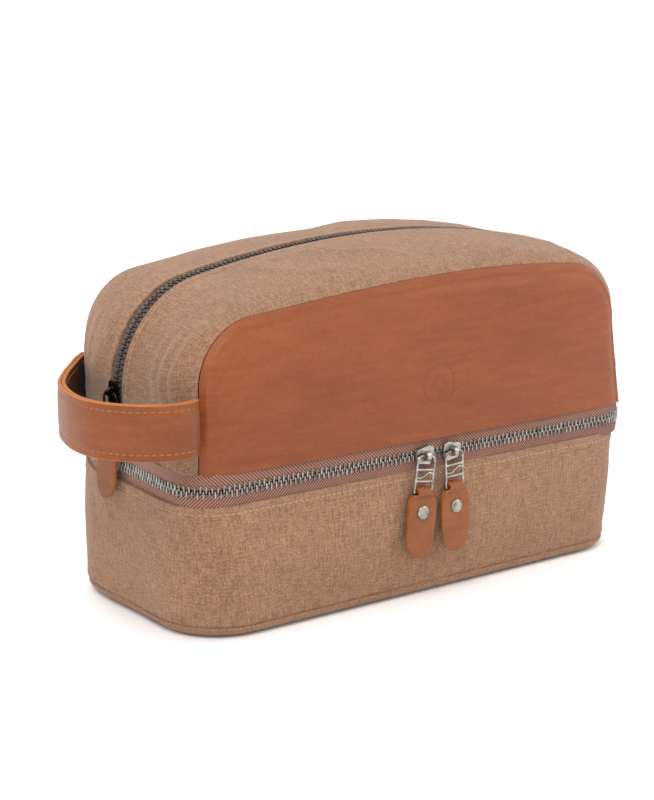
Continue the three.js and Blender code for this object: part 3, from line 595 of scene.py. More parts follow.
def rumple(P, sag, crumple, fine, seed):
    """How far a cloth surface stands off its smooth shape, in millimetres."""
    slow = noise(P, 58.0, seed) * sag
    middle = noise(P * [1, 1, 0.8], 21.0, seed + 1)
    folds = (1 - np.abs(noise(P * [1, 1, 0.55], 34.0, seed + 2))) ** 5
    small = noise(P, 6.5, seed + 3)
    return slow + middle * crumple + folds * crumple * 1.6 + small * fine


def displaced(P, lift, closed=False, outward=1.0):
    return P + grid_normals(P, closed) * (lift * outward)[..., None]


# ---- Tray ----------------------------------------------------------------------------------------

BASE_SEAM = 6.2   # height of the seam between the wall and the base
HEM = 6.0         # depth of the turned edge at the top of the tray
SWELL = 1.7       # how far the padded wall swells beyond its outline
PULL_ROOM = 72.7  # how far forward the wall may stand behind the pulls
HEM_STITCH = 3.4


def tray_outline(z):
    low = [(0.3, FOOT, 0.0), (1.4, HEEL, 2.4), (4.0, HEEL, 0.6), (8.0, HEEL, 0.0), (66.0, RIM, 0.0)]
    for (z0, s0, d0), (z1, s1, d1) in zip(low, low[1:]):
        if z <= z1:
            t = max((z - z0) / (z1 - z0), 0.0)
            return mix(inset(s0, d0), inset(s1, d1), t)
    return RIM


def tray_grid():
    z = np.concatenate([[0.35, 0.7, 1.2, 1.8, 2.6, 3.4, 4.2, 4.9, 5.4, 5.8, 6.2, 6.6, 7.0, 7.6, 8.6],
                        spread(10, 58, 36), spread(59, 64.4, 12), [65.0, 65.5, 65.9]])
    rows = []
    for level in z:
        loop, _ = plan_loop(tray_outline(level))
        out = plan_normals(loop)
        belly = 1.6 * math.sin(math.pi * min(max((level - 8) / 58, 0), 1))
        long_side = smooth(np.abs(out[:, 1]), 0.5, 1.0)
        push = belly * long_side
        push += SWELL * float(smooth(level, 1, 9) * (1 - 0.6 * smooth(level, 52, 66)))
        push -= 0.9 * math.exp(-(((level - BASE_SEAM) / 0.55) ** 2))
        push += 0.5 * math.exp(-(((level - BASE_SEAM + 2.4) / 1.6) ** 2))
        push += 0.45 * float(smooth(np.array(level), RIM_Z - HEM - 0.4, RIM_Z - HEM + 0.5))
        push -= 0.22 * math.exp(-(((level - RIM_Z + HEM_STITCH) / 0.6) ** 2))
        xy = loop + out * push[:, None]
        rows.append(np.column_stack([xy, np.full(len(loop), level)]))
    return np.array(rows), z


def make_tray():
    P, z = tray_grid()
    calm = smooth(z, 3, 14) * (1 - 0.85 * smooth(z, 50, 63))
    lift = rumple(P, 1.5, 0.55, 0.1, 3) * calm[:, None]
    P = displaced(P, lift, closed=True, outward=-1.0)
    room = smooth(-np.abs(P[..., 0] + 4), -62, -28) * smooth(P[..., 2], 8, 20)
    P[..., 1] = np.maximum(P[..., 1], -PULL_ROOM - 5 * (1 - room))
    P[:, -1] = P[:, 0]
    wall = sheet_mesh("tray_canvas", P, WALL_THICK, CANVAS, closed=True, bevel=0.6)
    place(wall, "tray", "canvas", "tray_wall")

    row = int(np.argmin(np.abs(z - (RIM_Z - HEM_STITCH))))
    out = np.column_stack([plan_normals(P[row, :, :2]), np.zeros(P.shape[1])])
    stitch = stitch_row("tray_hem_stitches", P[row], out, *CLOTH_STITCH, THREAD_TAN, "tray", 0.08, 0.05)

    rows = []
    loop, _ = plan_loop(inset(FOOT, 0.9))
    for t in np.concatenate([spread(0.02, 0.9, 26), spread(0.92, 1.0, 8)]):
        lift = np.interp(t, [0, 0.9, 0.97, 1.0], [0.0, 0.0, 0.15, 0.6])
        rows.append(np.column_stack([loop * t, np.full(len(loop), lift)]))
    P = np.array(rows)
    base = sheet_mesh("base_canvas", P, 1.7, CANVAS, uv=P[..., :2], closed=True, bevel=0.3)
    close_centre(base)
    place(base, "tray", "canvas", "tray_base")

    rows = []
    gap = 2.4 + 0.65
    floor = inset(HEEL, gap + 3.4)
    loop, _ = plan_loop(floor)
    for t in spread(0.02, 0.96, 40):
        rows.append(np.column_stack([loop * t, np.full(len(loop), 5.0)]))
    for level in spread(5.2, 65.6, 46):
        spec = mix(inset(HEEL, gap + 0.6), inset(RIM, gap), (level - 8) / 58) if level > 8 else \
            mix(floor, inset(HEEL, gap + 0.6), (level - 5) / 3)
        ring, _ = plan_loop(spec)
        rows.append(np.column_stack([ring, np.full(len(ring), level)]))
    P = np.array(rows)
    inside = grid_normals(P, True)
    wrinkle = np.abs(rumple(P, 0.9, 0.8, 0.1, 21)) + 0.3
    ease = np.ones(len(P))
    ease[-6:] = spread(1, 0, 6)
    centre = np.array([0, 0, 40.0])
    toward = np.sign(((centre - P) * inside).sum(2, keepdims=True))
    P = P + inside * toward * (wrinkle * ease[:, None])[..., None]
    P[:, -1] = P[:, 0]
    lining = sheet_mesh("tray_lining_cloth", P, 0.7, LINER, closed=True, bevel=0)
    close_centre(lining)
    place(lining, "tray", "lining", "tray_lining")


def close_centre(obj):
    """Fills the small open ring in the middle of a round grid, before it is thickened."""
    mesh = bmesh.new()
    mesh.from_mesh(obj.data)
    boundary = [e for e in mesh.edges if e.is_boundary]
    small = [e for e in boundary if all(abs(v.co.x) < 0.006 and abs(v.co.y) < 0.006 for v in e.verts)]
    if small:
        bmesh.ops.edgeloop_fill(mesh, edges=small)
    mesh.to_mesh(obj.data)
    mesh.free()
    obj.data.shade_smooth()


# ---- Tray zip ------------------------------------------------------------------------------------


def zip_path(spec, part):
    """The stretch of an outline that the zip follows, or the rest of it, as points in plan."""
    loop, (first, last) = plan_loop(spec, 2.0)
    loop = loop[:-1]
    if part == "zip":
        return loop[first:last + 1]
    return np.concatenate([loop[last:], loop[:first + 1]])


def path_frames(path, count):
    """Points evenly spaced along a plan path, with their tangents and outward directions."""
    p = resample(path, count)
    t = np.gradient(p, axis=0)
    t /= np.linalg.norm(t, axis=1, keepdims=True)
    return p, t, np.column_stack([t[:, 1], -t[:, 0]])


def tooth_unit():
    """A zip tooth seen from outside: x across, y along its length towards the chain, z outwards."""
    rings = [(-2.9, 0.24, 0.7), (-2.75, 0.4, 1.05), (-2.4, 0.46, 1.2), (-0.3, 0.48, 1.2),
             (0.15, 0.45, 1.1), (0.5, 0.36, 0.85), (0.72, 0.2, 0.5)]
    section = [(-1, -0.55), (-1, 0.55), (-0.8, 0.9), (-0.35, 1.0), (0.35, 1.0), (0.8, 0.9), (1, 0.55),
               (1, -0.55), (0.8, -0.9), (-0.8, -0.9)]
    verts = [(w * sx, y, d * sz) for y, w, d in rings for sx, sz in section]
    n = len(section)
    faces = tube_faces(len(rings), n)
    faces.append(tuple(range(n - 1, -1, -1)))
    faces.append(tuple((len(rings) - 1) * n + j for j in range(n)))
    return verts, [f[::-1] for f in faces]


def tooth_row(name, origins, outs, up, material, body, slot, node):
    """A row of zip teeth that point along up, with their faces turned outwards."""
    unit, faces = tooth_unit()
    places = [matrix(origin, np.cross(up, out), up, out) for origin, out in zip(origins, outs)]
    place(copies(name, unit, faces, places, material), body, slot, node)


def ribbed_tape(name, path, low, high, way, depth, body, replaces, material):
    """Zip tape with slanted twill ribs, along a plan path."""
    total = arc_length(path)[-1]
    p, _, out = path_frames(path, int(total / 0.42))
    z = spread(low, high, max(int((high - low) / 0.36), 6))
    u = np.arange(len(p)) * total / (len(p) - 1)
    phase = (u[None, :] + way * (z[:, None] - low) * 1.1) / 1.8
    rib = 0.17 * np.cos(2 * np.pi * phase)
    d = depth - rib - 0.25 * np.sin(np.pi * (z - low) / (high - low))[:, None]
    P = np.empty((len(z), len(p), 3))
    P[..., :2] = p[None] - out[None] * d[..., None]
    P[..., 2] = z[:, None]
    uv = cloth_map(u[None, :] + way * z[:, None] * 1.1, z[:, None])
    tape = sheet_mesh(name, P, TAPE_THICK, material, uv=uv, bevel=0)
    place(tape, body, "zip_tape", *replaces)


def make_tray_zip():
    path = zip_path(BAND, "zip")
    total = arc_length(path)[-1]
    count = int(total / PITCH)
    for half, body, way, shift in (("tray", "tray", 1, 0.0), ("lid", "compartment", -1, 0.5)):
        s = (np.arange(count - 1) + 0.5 + shift) * total / count
        lengths = arc_length(path)
        p = along(s, lengths, path)
        ahead = along(s + 0.3, lengths, path) - along(s - 0.3, lengths, path)
        ahead /= np.linalg.norm(ahead, axis=1, keepdims=True)
        outs = np.column_stack([ahead[:, 1], -ahead[:, 0], np.zeros(len(p))])
        origins = np.column_stack([p, np.full(len(p), ZIP_Z)]) - outs * TOOTH / 2
        tooth_row(half + "_teeth", origins, outs, np.array([0, 0, float(way)]), CHAIN_METAL,
                  body, "antique_nickel", half + "_zip_teeth")
    ribbed_tape("tray_tape", path, RIM_Z - 1.2, ZIP_Z - 0.9, -1, 1.0, "tray", ["tray_zip_tape"], TAPE)
    ribbed_tape("lid_tape", path, ZIP_Z + 0.9, LID_Z + 0.8, 1, 1.0, "compartment", ["lid_zip_tape"], TAPE)


def make_hinge():
    path = zip_path(BAND, "hinge")
    p, _, out = path_frames(path, 260)
    z = spread(RIM_Z - 1.2, LID_Z + 0.6, 44)
    P = np.empty((len(z), len(p), 3))
    pinch = 0.5 * np.exp(-(((z - ZIP_Z) / 1.6) ** 2))
    P[..., :2] = p[None] - out[None] * (0.3 + pinch)[:, None, None]
    P[..., 2] = z[:, None]
    strip = sheet_mesh("hinge_cloth", P, 1.1, CANVAS, bevel=0.2)
    apply_modifiers(strip)
    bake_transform(strip)
    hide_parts("tray_hinge_strip", "lid_hinge_strip")


# ---- Compartment ---------------------------------------------------------------------------------

FINE = (34, 60, 420)
MARK = (-2.0, 106.0, 9.5)  # a plain stamped ring with a diamond in it: x, z, radius


def stamped_mark(P):
    x, z = P[..., 0] - MARK[0], P[..., 2] - MARK[1]
    r = np.hypot(x, z)
    ring = np.exp(-(((r - MARK[2]) / 0.7) ** 2))
    diamond = np.exp(-(((np.abs(x) + np.abs(z) - 4.2) / 0.75) ** 2))
    return -0.5 * np.maximum(ring, diamond)


def make_front_panel():
    P, d = panel_grid(FRONT_SEAM, -1, LID_Z, 150, FINE)
    away = 1 - np.exp(-d / 10)
    relief = noise(P, 62, 41) * 1.1 * away + noise(P, 24, 42) * 0.28 * away + noise(P, 7, 43) * 0.05
    roll = 0.75 * np.exp(-(((d - 2.4) / 1.5) ** 2)) - 0.35 * np.exp(-(((d - 5.6) / 2.2) ** 2))
    lower = np.exp(-(((P[..., 2] - LID_Z - 4.2) / 0.7) ** 2)) * smooth(d, 4, 8)
    lift = relief + roll + stamped_mark(P) - 0.25 * lower
    P = P + np.array([0, -1.0, 0]) * lift[..., None]
    P[..., 1] = np.minimum(P[..., 1], -SEAM_Y + 0.2)
    panel = sheet_mesh("front_leather", P, LEATHER_THICK, LEATHER, bevel=0.5, flip=True, uv=P[..., [0, 2]])
    panel.data.materials.append(RAW_EDGE)
    panel.modifiers["thickness"].material_offset_rim = 1
    place(panel, "compartment", "leather", "front_panel")


def make_rear_panel():
    P, d = panel_grid(REAR_SEAM, 1, LID_Z, 70, (24, 44, 170))
    away = 1 - np.exp(-d / 12)
    P = P + np.array([0, 1.0, 0]) * (rumple(P, 1.6, 0.6, 0.12, 51) * away)[..., None]
    P[..., 1] = np.maximum(P[..., 1], SEAM_Y - 0.2)
    panel = sheet_mesh("rear_canvas", P, CANVAS_THICK, CANVAS, bevel=0.5, uv=P[..., [0, 2]])
    place(panel, "compartment", "canvas", "rear_panel")


def gusset_relief(P, w, seed):
    """Sag and folds of the gussets: calm along the seam and the zip, with puckers at the ends."""
    calm = smooth(1 - w, 0.0, 0.18) * smooth(w, 0.06, 0.3)
    lift = rumple(P, 1.5, 0.7, 0.12, seed) * calm
    ends = smooth(np.abs(P[..., 0]), 112, 130) * smooth(w, 0.3, 0.7) * (1 - smooth(w, 0.93, 1.0))
    pucker = np.sin(P[..., 1] * 0.52 + noise(P, 18, seed + 7) * 2.2)
    return lift + ends * pucker * 0.55 * (1 - smooth(P[..., 2], 132, 150))


def make_gussets():
    edge = SEAM_Y - 0.25
    for name, front, seed in (("front_gusset", -1, 61), ("rear_gusset", 1, 71)):
        ys = front * spread(edge, SLOT, 84)
        foot = ZIP_END_Z - 2.0
        P = np.array([band_row(y, foot) for y in ys])
        ratio = np.abs(ys)[:, None] / SEAM_Y * np.ones(P.shape[1])
        lift = gusset_relief(P, ratio, seed) * smooth(P[..., 2], foot + 1, foot + 22)
        lift += 0.5 * (1 - smooth(np.abs(ys), SLOT + 4.0, SLOT + 5.0))[:, None]
        lift -= 0.25 * np.exp(-(((np.abs(ys) - SLOT - 3.0) / 0.7) ** 2))[:, None]
        P = displaced(P, lift, outward=float(-front))
        cloth = sheet_mesh(name + "_canvas", P, CANVAS_THICK, CANVAS, bevel=0.5, flip=front > 0)
        place(cloth, "compartment", "canvas", name)
        row = int(np.argmin(np.abs(np.abs(ys) - SLOT - 3.0)))
        out = grid_normals(P)[row] * -front
        line = stitch_row(name + "_stitches", P[row], out, *CLOTH_STITCH, THREAD_TAN, "compartment",
                          0.08, 0.05)

    ys = -edge + 2 * edge * spread(0, 1, 90)
    for name, way in (("left", -1), ("right", 1)):
        levels = spread(LID_Z, ZIP_END_Z + 1.5, 26)
        P = np.empty((len(levels), len(ys), 3))
        for i, z in enumerate(levels):
            for j, y in enumerate(ys):
                P[i, j] = band_row(y, z, (3, 5, 8))[0 if way < 0 else -1]
        w = np.abs(P[..., 1]) / SEAM_Y
        lift = gusset_relief(P, w, 81 + way) * 0.4 * (1 - smooth(P[..., 2], 88, 97))
        lift += 0.35 * smooth(P[..., 2], ZIP_END_Z - 3, ZIP_END_Z - 1.5)
        P[..., 0] += way * lift
        cloth = sheet_mesh(name + "_end_canvas", P, CANVAS_THICK, CANVAS, bevel=0.5, flip=way < 0)
        place(cloth, "compartment", "canvas", name + "_end_gusset")


def make_top_zip():
    crown, out = arch(CROWN, ZIP_END_Z + 0.3, (30, 60, 260))
    lengths = arc_length(crown)
    total = lengths[-1]
    count = int(total / PITCH)
    for name, way, shift in (("front", -1, 0.0), ("rear", 1, 0.5)):
        s = (np.arange(count - 1) + 0.5 + shift) * total / count
        p, n = along(s, lengths, crown), along(s, lengths, out)
        level = np.zeros(len(p))
        outs = np.column_stack([n[:, 0], level, n[:, 1]]) / np.hypot(n[:, 0], n[:, 1])[:, None]
        origins = np.column_stack([p[:, 0], level, p[:, 1]]) + outs * (0.5 - TOOTH / 2)
        tooth_row("top_" + name + "_teeth", origins, outs, np.array([0, -float(way), 0]), DARK_METAL,
                  "compartment", "gunmetal", "top_zip_" + name + "_teeth")

        fine = resample(np.column_stack([crown, out]), int(total / 0.45))
        u = np.arange(len(fine)) * total / (len(fine) - 1)
        ys = spread(0.9, SLOT + 2.5, 14)
        rib = 0.15 * np.cos(2 * np.pi * (u[None, :] + ys[:, None] * 1.1) / 1.8)
        P = np.empty((len(ys), len(fine), 3))
        drop = 0.25 + 0.06 * ys[:, None] ** 1.3 - rib
        P[..., 0] = fine[None, :, 0] - fine[None, :, 2] * drop
        P[..., 2] = fine[None, :, 1] - fine[None, :, 3] * drop
        P[..., 1] = way * ys[:, None]
        uv = cloth_map(u[None, :] + ys[:, None] * 1.1, ys[:, None])
        tape = sheet_mesh("top_" + name + "_tape", P, TAPE_THICK, DARK_TAPE, uv=uv, bevel=0, flip=way < 0)
        place(tape, "compartment", "zip_tape", "top_zip_" + name + "_tape")


def make_inside():
    loop, _ = plan_loop(inset(BAND, DIVIDER_IN))
    rows = []
    for t in np.concatenate([spread(0.02, 0.95, 40), spread(0.96, 1.0, 8)]):
        drop = np.interp(t, [0, 0.955, 0.985, 1.0], [0, 0, 0.25, 1.1])
        rows.append(np.column_stack([loop * t, np.full(len(loop), DIVIDER_Z + drop)]))
    P = np.array(rows)
    calm = 1 - smooth(spread(0, 1, len(P)), 0.8, 1.0)
    P[..., 2] += np.abs(rumple(P, 0.35, 0.3, 0.08, 91)) * 0.6 * calm[:, None]
    P[:, -1] = P[:, 0]
    # Where the divider shows in the slit under the lid's zip, its lining brown also stands in for the
    # shade in that slit: painted shade.
    cloth = sheet_mesh("divider_cloth", P, 0.9, LINER, closed=True, bevel=0.2)
    close_centre(cloth)
    place(cloth, "compartment", "lining", "divider")

    foot = LID_Z + 3.4
    for name, spec, front in (("front_lining", FRONT_SEAM, -1), ("rear_lining", REAR_SEAM, 1)):
        face, _ = panel_grid(spec, front, foot, 24, (8, 14, 60))
        face = face[::-1] - np.array([0, front * 4.2, 0])
        band = [band_row(front * SEAM_Y * w, foot, (8, 14, 60), 4.2) for w in spread(0.84, 0.14, 18)]
        P = np.concatenate([face[:-3], band])
        P = displaced(P, np.abs(rumple(P, 0.4, 0.5, 0.1, 95)) * 0.5, outward=float(front))
        cloth = sheet_mesh(name + "_cloth", P, 0.6, LINER, bevel=0, flip=front > 0)
        place(cloth, "compartment", "lining", name)


# ---- Handle strap --------------------------------------------------------------------------------


def catmull(points):
    """A centripetal Catmull-Rom curve through the points."""
    p = np.array(points, float)
    p = np.concatenate([[2 * p[0] - p[1]], p, [2 * p[-1] - p[-2]]])
    out = []
    for i in range(len(p) - 3):
        q = p[i:i + 4]
        t = np.concatenate([[0], np.cumsum(np.linalg.norm(np.diff(q, axis=0), axis=1) ** 0.5)])
        s = spread(t[1], t[2], 15)[:-1, None]

        def between(v0, v1, k0, k1):
            return (t[k1] - s) / (t[k1] - t[k0]) * v0 + (s - t[k0]) / (t[k1] - t[k0]) * v1

        a = [between(q[k], q[k + 1], k, k + 1) for k in range(3)]
        b = [between(a[k], a[k + 1], k, k + 2) for k in range(2)]
        out.append(between(b[0], b[1], 1, 2))
    return np.concatenate(out + [p[-2:-1]])


def swept(name, path, rise, out, section, materials, kinds):
    """A closed bar along a plan path that rises as given. The section's points are (inwards,
    height); `kinds` names the material of each side that starts at a point."""
    n, m = len(path), len(section)
    verts = np.empty((n, m, 3))
    for j, (d, z) in enumerate(section):
        verts[:, j, :2] = path - out * d
        verts[:, j, 2] = z + rise
    faces, kind = [], []
    for i in range(n - 1):
        for j in range(m):
            k = (j + 1) % m
            faces.append((i * m + j, i * m + k, (i + 1) * m + k, (i + 1) * m + j))
            kind.append(kinds[j])
    faces.append(tuple(range(m - 1, -1, -1)))
    faces.append(tuple((n - 1) * m + j for j in range(m)))
    kind += [1, 1]
    obj = new_object(name, verts.reshape(-1, 3), faces, None, None)
    for material in materials:
        obj.data.materials.append(material)
    obj.data.polygons.foreach_set("material_index", kind)
    return obj


def strip_section(thick, low, high, seam):
    """An upright strip's section: two faces with a slight dip along each stitch row, and edges that
    are a little rounded."""
    z = spread(low + 0.35, high - 0.35, 26)
    dip = 0.3 * (np.exp(-(((z - low - seam) / 1.0) ** 2)) + np.exp(-(((high - seam - z) / 1.0) ** 2)))
    crown = 0.25 * np.sin(np.pi * (z - low) / (high - low))
    outer = list(zip(dip - crown, z))
    inner = [(thick - d, h) for d, h in zip(dip * 0.6, z[::-1])]
    section = outer + [(0.3, high), (thick - 0.3, high)] + inner + [(thick - 0.3, low), (0.3, low)]
    kinds = [0] * (len(outer) - 1) + [1, 1, 1] + [0] * (len(inner) - 1) + [1, 1, 1]
    return section, kinds


def make_strap():
    line = catmull(STRAP_LINE)
    path = resample(line[arc_length(line) > STRAP_START], 220)
    t = np.gradient(path, axis=0)
    t /= np.linalg.norm(t, axis=1, keepdims=True)
    out = np.column_stack([-t[:, 1], t[:, 0]])
    if out[len(out) // 2, 0] > 0:
        out = -out
    low, high = STRAP_Z
    droop = -STRAP_DROOP * smooth(spread(0, 1, len(path)), 0.38, 0.8)
    layers = (("strap_outer", 0.0, 5, STRAP), ("strap_inner", STRAP_LAYER + 0.12, 9, STRAP_BACK))
    for name, depth, seed, hide in layers:
        section, kinds = strip_section(STRAP_LAYER + 0.08, low, high, STRAP_SEAM)
        section = [(d + depth, z) for d, z in section]
        wave = noise(np.column_stack([path, np.zeros(len(path))]), 26, seed) * 0.35
        waved = path + out * wave[:, None] * 0.5
        strap = swept(name + "_leather", waved, droop, out, section, [hide, RAW_EDGE], kinds)
        place(strap, "compartment", "strap_leather", name)
    for name, z in (("upper", high - STRAP_SEAM), ("lower", low + STRAP_SEAM)):
        for side, d, sign in (("outer", 0.28, 1), ("inner", 2 * STRAP_LAYER + 0.02, -1)):
            line = np.column_stack([path - out * d, z + droop])
            way = np.column_stack([out * sign, np.zeros(len(path))])
            row = stitch_row("strap_stitches_" + name + "_" + side, line[4:-4], way[4:-4], *STRAP_STITCH,
                             THREAD_ORANGE, "compartment", 0.06, 0.0)


# ---- Sliders and pulls ---------------------------------------------------------------------------

FRAME_DROP, TAB_LEN, TAB_HALF, LEAF = 17.5, 32.0, 8.5, 1.4
RIVET_DROP, NECK, BAR = 9.5, 4.1, 0.8
RUNGS = (-6.6, -12.2)
RIVET = [  # radius and height, from the back cap to the domed front one
    (0, -1.9), (2.2, -1.9), (2.6, -1.7), (2.75, -1.45), (1.2, -1.3), (1.2, 1.35), (3.0, 1.38), (3.3, 1.5),
    (3.42, 1.72), (3.3, 1.98), (2.95, 2.2), (2.3, 2.42), (1.5, 2.58), (0.7, 2.66), (0, 2.68),
]
PULLS = {  # slider: pin, facing, tilt, lean, tab lean
    "left": ((-11, -76.3, 73), (0, -1, 0), 0, -8, -5),
    "right": ((6, -76.3, 73), (0, -1, 0), 0, 2, 1),
    "top": ((-137.4, 0, 107), (-1, 0, 0), 4, 0, 0),
}


def turn(axis, degrees):
    return np.array(Matrix.Rotation(math.radians(degrees), 4, axis))


def pull_places(pin, facing, tilt, lean, tab_lean):
    """Where a pull's frame and its tab hang."""
    up, facing = np.array([0, 0, 1.0]), np.array(facing, float)
    tilted = matrix(pin, np.cross(up, facing), up, facing) @ turn("X", -tilt)
    hang = tilted @ turn("Z", lean)
    tab = tilted.copy()
    tab[:3, 3] = (hang @ [0, -FRAME_DROP, 0, 1])[:3]
    return hang, tab @ turn("Z", tab_lean)


def moved(obj, m):
    """Puts a mesh that was made about its own origin, in millimetres, into place."""
    m = Matrix(m.tolist())
    m.translation *= MM
    obj.data.transform(m)
    obj.data.update()
    return obj


def refined(name, node, material, bevel):
    """A copy of a CAD node's mesh with its facets joined and its edges rounded."""
    source = bpy.data.objects[node]
    mesh = bmesh.new()
    mesh.from_mesh(source.data)
    bmesh.ops.remove_doubles(mesh, verts=mesh.verts, dist=0.02 * MM)
    bmesh.ops.dissolve_limit(mesh, angle_limit=math.radians(2), verts=mesh.verts, edges=mesh.edges)
    data = bpy.data.meshes.new(name)
    mesh.to_mesh(data)
    mesh.free()
    data.materials.clear()
    data.materials.append(material)
    data.shade_smooth()
    obj = bpy.data.objects.new(name, data)
    bpy.context.scene.collection.objects.link(obj)
    edge = obj.modifiers.new("edge", "BEVEL")
    edge.width = bevel * MM
    edge.segments = 3
    edge.limit_method = "ANGLE"
    edge.angle_limit = math.radians(28)
    edge.harden_normals = True
    normals = obj.modifiers.new("normals", "WEIGHTED_NORMAL")
    normals.keep_sharp = True
    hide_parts(node)
    return obj


def lathe(name, profile, sides, material):
    """A turned piece about z from (radius, height) points; it starts and ends on the axis."""
    verts = [(0, 0, profile[0][1])]
    for r, z in profile[1:-1]:
        verts += [(r * math.cos(2 * math.pi * j / sides), r * math.sin(2 * math.pi * j / sides), z)
                  for j in range(sides)]
    verts.append((0, 0, profile[-1][1]))
    faces = [(0, 1 + j, 1 + (j + 1) % sides) for j in range(sides)]
    for i in range(len(profile) - 3):
        a, b = 1 + i * sides, 1 + (i + 1) * sides
        faces += [(a + j, b + j, b + (j + 1) % sides, a + (j + 1) % sides) for j in range(sides)]
    last = 1 + (len(profile) - 3) * sides
    faces += [(last + j, len(verts) - 1, last + (j + 1) % sides) for j in range(sides)]
    return new_object(name, verts, faces, None, material)


def tab_half_width(y):
    """Half the tab's width at a height below the bar: a neck, round shoulders, a tongue."""
    y = np.asarray(y, float)
    t = np.clip((-y - 1.2) / 7.0, 0, 1)
    shoulder = NECK + (TAB_HALF - NECK) * np.sqrt(1 - (1 - t) ** 2)
    side = TAB_HALF - 0.3 * smooth(-y, 9, 22)
    k = np.sqrt(np.clip((y + TAB_LEN) / 10.0, 0, 1))
    tip = 8.2 * k * k + 2 * 6.9 * k * (1 - k)
    return np.where(y > -9, shoulder, np.where(y > -22, side, tip))


def leather_tab(name, seed):
    """The tab: up its front leaf, round the bar, and down the shorter back leaf."""
    outer = BAR + 0.4 + LEAF
    tip = -TAB_LEN + 0.15 + (TAB_LEN - outer) * (1 - np.cos(spread(0, math.pi / 2, 40)))
    front = np.column_stack([tip, np.full(len(tip), LEAF)])
    start = math.asin(LEAF / outer)
    angle = spread(start - math.pi / 2, 1.5 * math.pi - start, 26)
    loop = np.column_stack([outer * np.sin(angle), outer * np.cos(angle)])
    y = spread(-outer, -(RIVET_DROP + 5), 18)[1:]
    back = np.column_stack([y, np.full(len(y), -LEAF)])
    line = np.concatenate([front[:-1], loop, back])
    across = spread(-1, 1, 25)
    half = tab_half_width(np.minimum(line[:, 0], 0))
    half[:2] = np.maximum(half[:2], 1.2)
    half[-len(back):] -= np.minimum(spread(0, 3, len(back)), 0.9)
    P = np.empty((len(line), len(across), 3))
    P[..., 0] = half[:, None] * across[None, :]
    P[..., 1] = line[:, :1]
    P[..., 2] = line[:, 1:]
    edge = np.abs(across)[None, :] ** 6
    P[..., 2] -= np.sign(P[..., 2]) * 0.22 * edge
    P += (noise(P, 7.0, seed)[..., None] * 0.12 + noise(P, 2.2, seed + 1)[..., None] * 0.05)
    near = np.exp(-((P[..., 0] ** 2 + (P[..., 1] + RIVET_DROP) ** 2) / 14.0))
    P[..., 2] -= np.sign(P[..., 2]) * 0.25 * near
    tab = sheet_mesh(name, P, LEAF - 0.12, TAB, bevel=0.22, uv=P[..., :2])
    tab.data.materials.append(RAW_EDGE)
    tab.modifiers["thickness"].material_offset_rim = 1
    return tab


def rod(points, radius):
    """A round rod along a path in the XY plane, capped at its ends."""
    sides = 10
    p = np.array(points, float)
    t = np.gradient(p, axis=0)
    t /= np.linalg.norm(t, axis=1, keepdims=True)
    angle = spread(0, 2 * math.pi, sides + 1)[:-1]
    across = np.column_stack([-t[:, 1], t[:, 0]])[:, None, :] * np.cos(angle)[None, :, None] * radius
    verts = np.dstack([p[:, None, :] + across, np.broadcast_to(np.sin(angle) * radius, (len(p), sides))])
    faces = tube_faces(len(p), sides)
    faces += [tuple(range(sides - 1, -1, -1)), tuple((len(p) - 1) * sides + j for j in range(sides))]
    return verts.reshape(-1, 3), faces


def ladder(name, material):
    """The pull's frame: a rounded hoop with two rungs and a wave between them, fused together."""
    half, turn_r, radius = 5.3, 2.6, 0.66
    angle = spread(0, math.pi / 2, 9)
    left = np.column_stack([-half + turn_r * (1 - np.cos(angle)), -turn_r + turn_r * np.sin(angle)])
    hoop = np.concatenate([
        [[-half, -FRAME_DROP]],
        np.column_stack([np.full(8, -half), spread(-FRAME_DROP + 1, -turn_r - 0.5, 8)]),
        left, left[::-1] * [-1, 1],
        np.column_stack([np.full(8, half), spread(-turn_r - 0.5, -FRAME_DROP + 1, 8)]),
        [[half, -FRAME_DROP]],
    ])
    x = spread(-half, half, 30)
    high, low = RUNGS
    wave = (high + low) / 2 + 1.35 * np.sin(x / half * math.pi * 0.92)
    rods = [(hoop, radius), ([(-half - 0.5, -FRAME_DROP), (half + 0.5, -FRAME_DROP)], BAR),
            ([(-half, high), (half, high)], 0.6), ([(-half, low), (half, low)], 0.6),
            (np.column_stack([x, wave]), 0.55)]
    verts, faces = [], []
    for path, r in rods:
        v, f = rod(path, r)
        faces += [tuple(k + sum(map(len, verts)) for k in face) for face in f]
        verts.append(v)
    frame_piece = new_object(name, np.concatenate(verts), faces, None, material)
    fuse = frame_piece.modifiers.new("fuse", "REMESH")
    fuse.mode = "VOXEL"
    fuse.voxel_size = 0.2 * MM
    fuse.use_smooth_shade = True
    relax = frame_piece.modifiers.new("relax", "SMOOTH")
    relax.factor, relax.iterations = 0.5, 3
    return frame_piece


def make_pull(side):
    hang, tab_place = pull_places(*PULLS[side])
    metal = BLACK_METAL if side == "top" else NICKEL
    slot = "gunmetal" if side == "top" else "antique_nickel"
    body = refined(side + "_slider_body", side + "_slider", metal, 0.34)
    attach(body, side + "_slider")
    hoop = moved(ladder(side + "_ladder", metal), hang)
    place(hoop, side + "_pull", slot, side + "_pull_frame")
    tab = moved(leather_tab(side + "_leather_tab", {"left": 1, "right": 2, "top": 3}[side]), tab_place)
    place(tab, side + "_tab", "strap_leather", side + "_pull_tab")
    rivet_place = tab_place @ np.array(Matrix.Translation((0, -RIVET_DROP, 0)))
    rivet = moved(lathe(side + "_rivet", RIVET, 40, NICKEL), rivet_place)
    place(rivet, side + "_tab", "antique_nickel", side + "_pull_rivet")


# ---- What the CAD model keeps --------------------------------------------------------------------


def dress_nodes():
    for node in ("base_board", "divider_board"):
        bpy.data.objects[node].data.materials.clear()
        bpy.data.objects[node].data.materials.append(BOARD)
    for side in ("left", "right"):
        stop = refined("zip_stop_" + side, "tray_zip_stop_" + side, NICKEL, 0.3)
        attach(stop, "tray")


# ---- Studio --------------------------------------------------------------------------------------


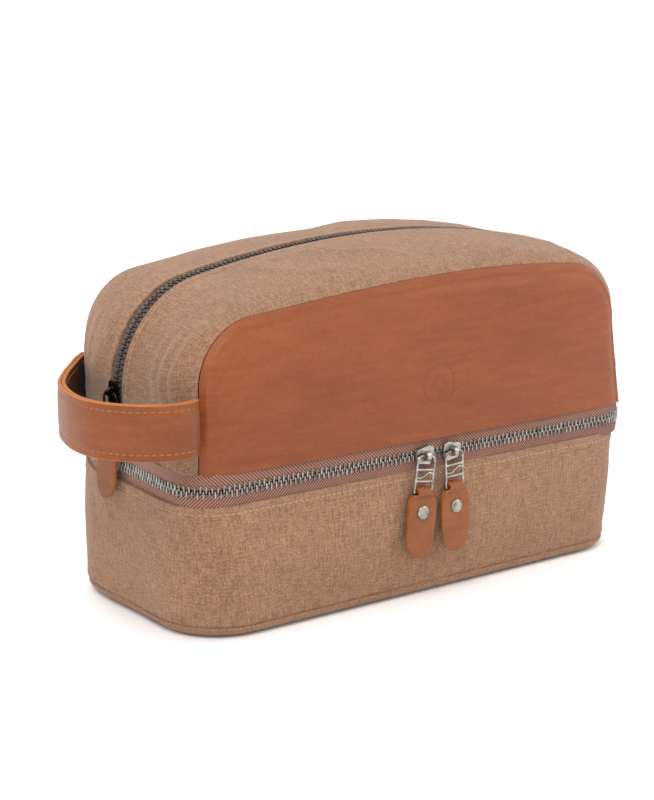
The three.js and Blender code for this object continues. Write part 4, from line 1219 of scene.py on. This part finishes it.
def area_light(name, spot, target, size, power):
    data = bpy.data.lights.new(name, "AREA")
    data.shape = "DISK"
    data.size = size
    data.energy = power
    light = bpy.data.objects.new(name, data)
    bpy.context.scene.collection.objects.link(light)
    light.location = spot
    light.rotation_euler = (Vector(target) - Vector(spot)).to_track_quat("-Z", "Y").to_euler()


def make_studio():
    mesh = bpy.data.meshes.new("floor")
    size, n = 60.0, 60
    steps = [-size + 2 * size * i / n for i in range(n + 1)]
    grid = [(x, y, 0) for x in steps for y in steps]
    quads = [(i * (n + 1) + j, (i + 1) * (n + 1) + j, (i + 1) * (n + 1) + j + 1, i * (n + 1) + j + 1)
             for i in range(n) for j in range(n)]
    mesh.from_pydata(grid, [], quads)
    floor = bpy.data.objects.new("floor", mesh)
    bpy.context.scene.collection.objects.link(floor)
    paper = Nodes("pale_floor")
    paper.shader.inputs["Base Color"].default_value = (1, 1, 1, 1)
    paper.shader.inputs["Roughness"].default_value = 0.95
    paper.shader.inputs["Specular IOR Level"].default_value = 0.0
    floor.data.materials.append(paper.material)

    scene = bpy.context.scene
    scene.world = bpy.data.worlds.new("studio")
    scene.world.use_nodes = True
    background = scene.world.node_tree.nodes["Background"]
    background.inputs["Color"].default_value = (1, 1, 1, 1)
    background.inputs["Strength"].default_value = 1.02
    area_light("key", (-1.0, -0.9, 1.5), (0, 0, 0.08), 0.9, 16)
    area_light("fill", (1.3, -1.0, 0.9), (0, 0, 0.08), 1.2, 6)
    area_light("back", (0.3, 1.3, 1.4), (0, 0, 0.1), 1.2, 6)
    scene.view_settings.view_transform = "Standard"

    data = bpy.data.cameras.new("camera")
    data.lens = 80.4
    data.sensor_width = 36
    data.sensor_fit = "AUTO"
    camera = bpy.data.objects.new("camera", data)
    scene.collection.objects.link(camera)
    camera.location = (-0.5465, -0.6986, 0.2758)
    aim = Vector((-0.0069, 0.0068, 0.0854)) - Vector(camera.location)
    camera.rotation_euler = aim.to_track_quat("-Z", "Y").to_euler()
    scene.camera = camera


make_studio()
make_tray()
make_tray_zip()
make_hinge()
make_front_panel()
make_rear_panel()
make_gussets()
make_top_zip()
make_inside()
make_strap()
for side in PULLS:
    make_pull(side)
dress_nodes()
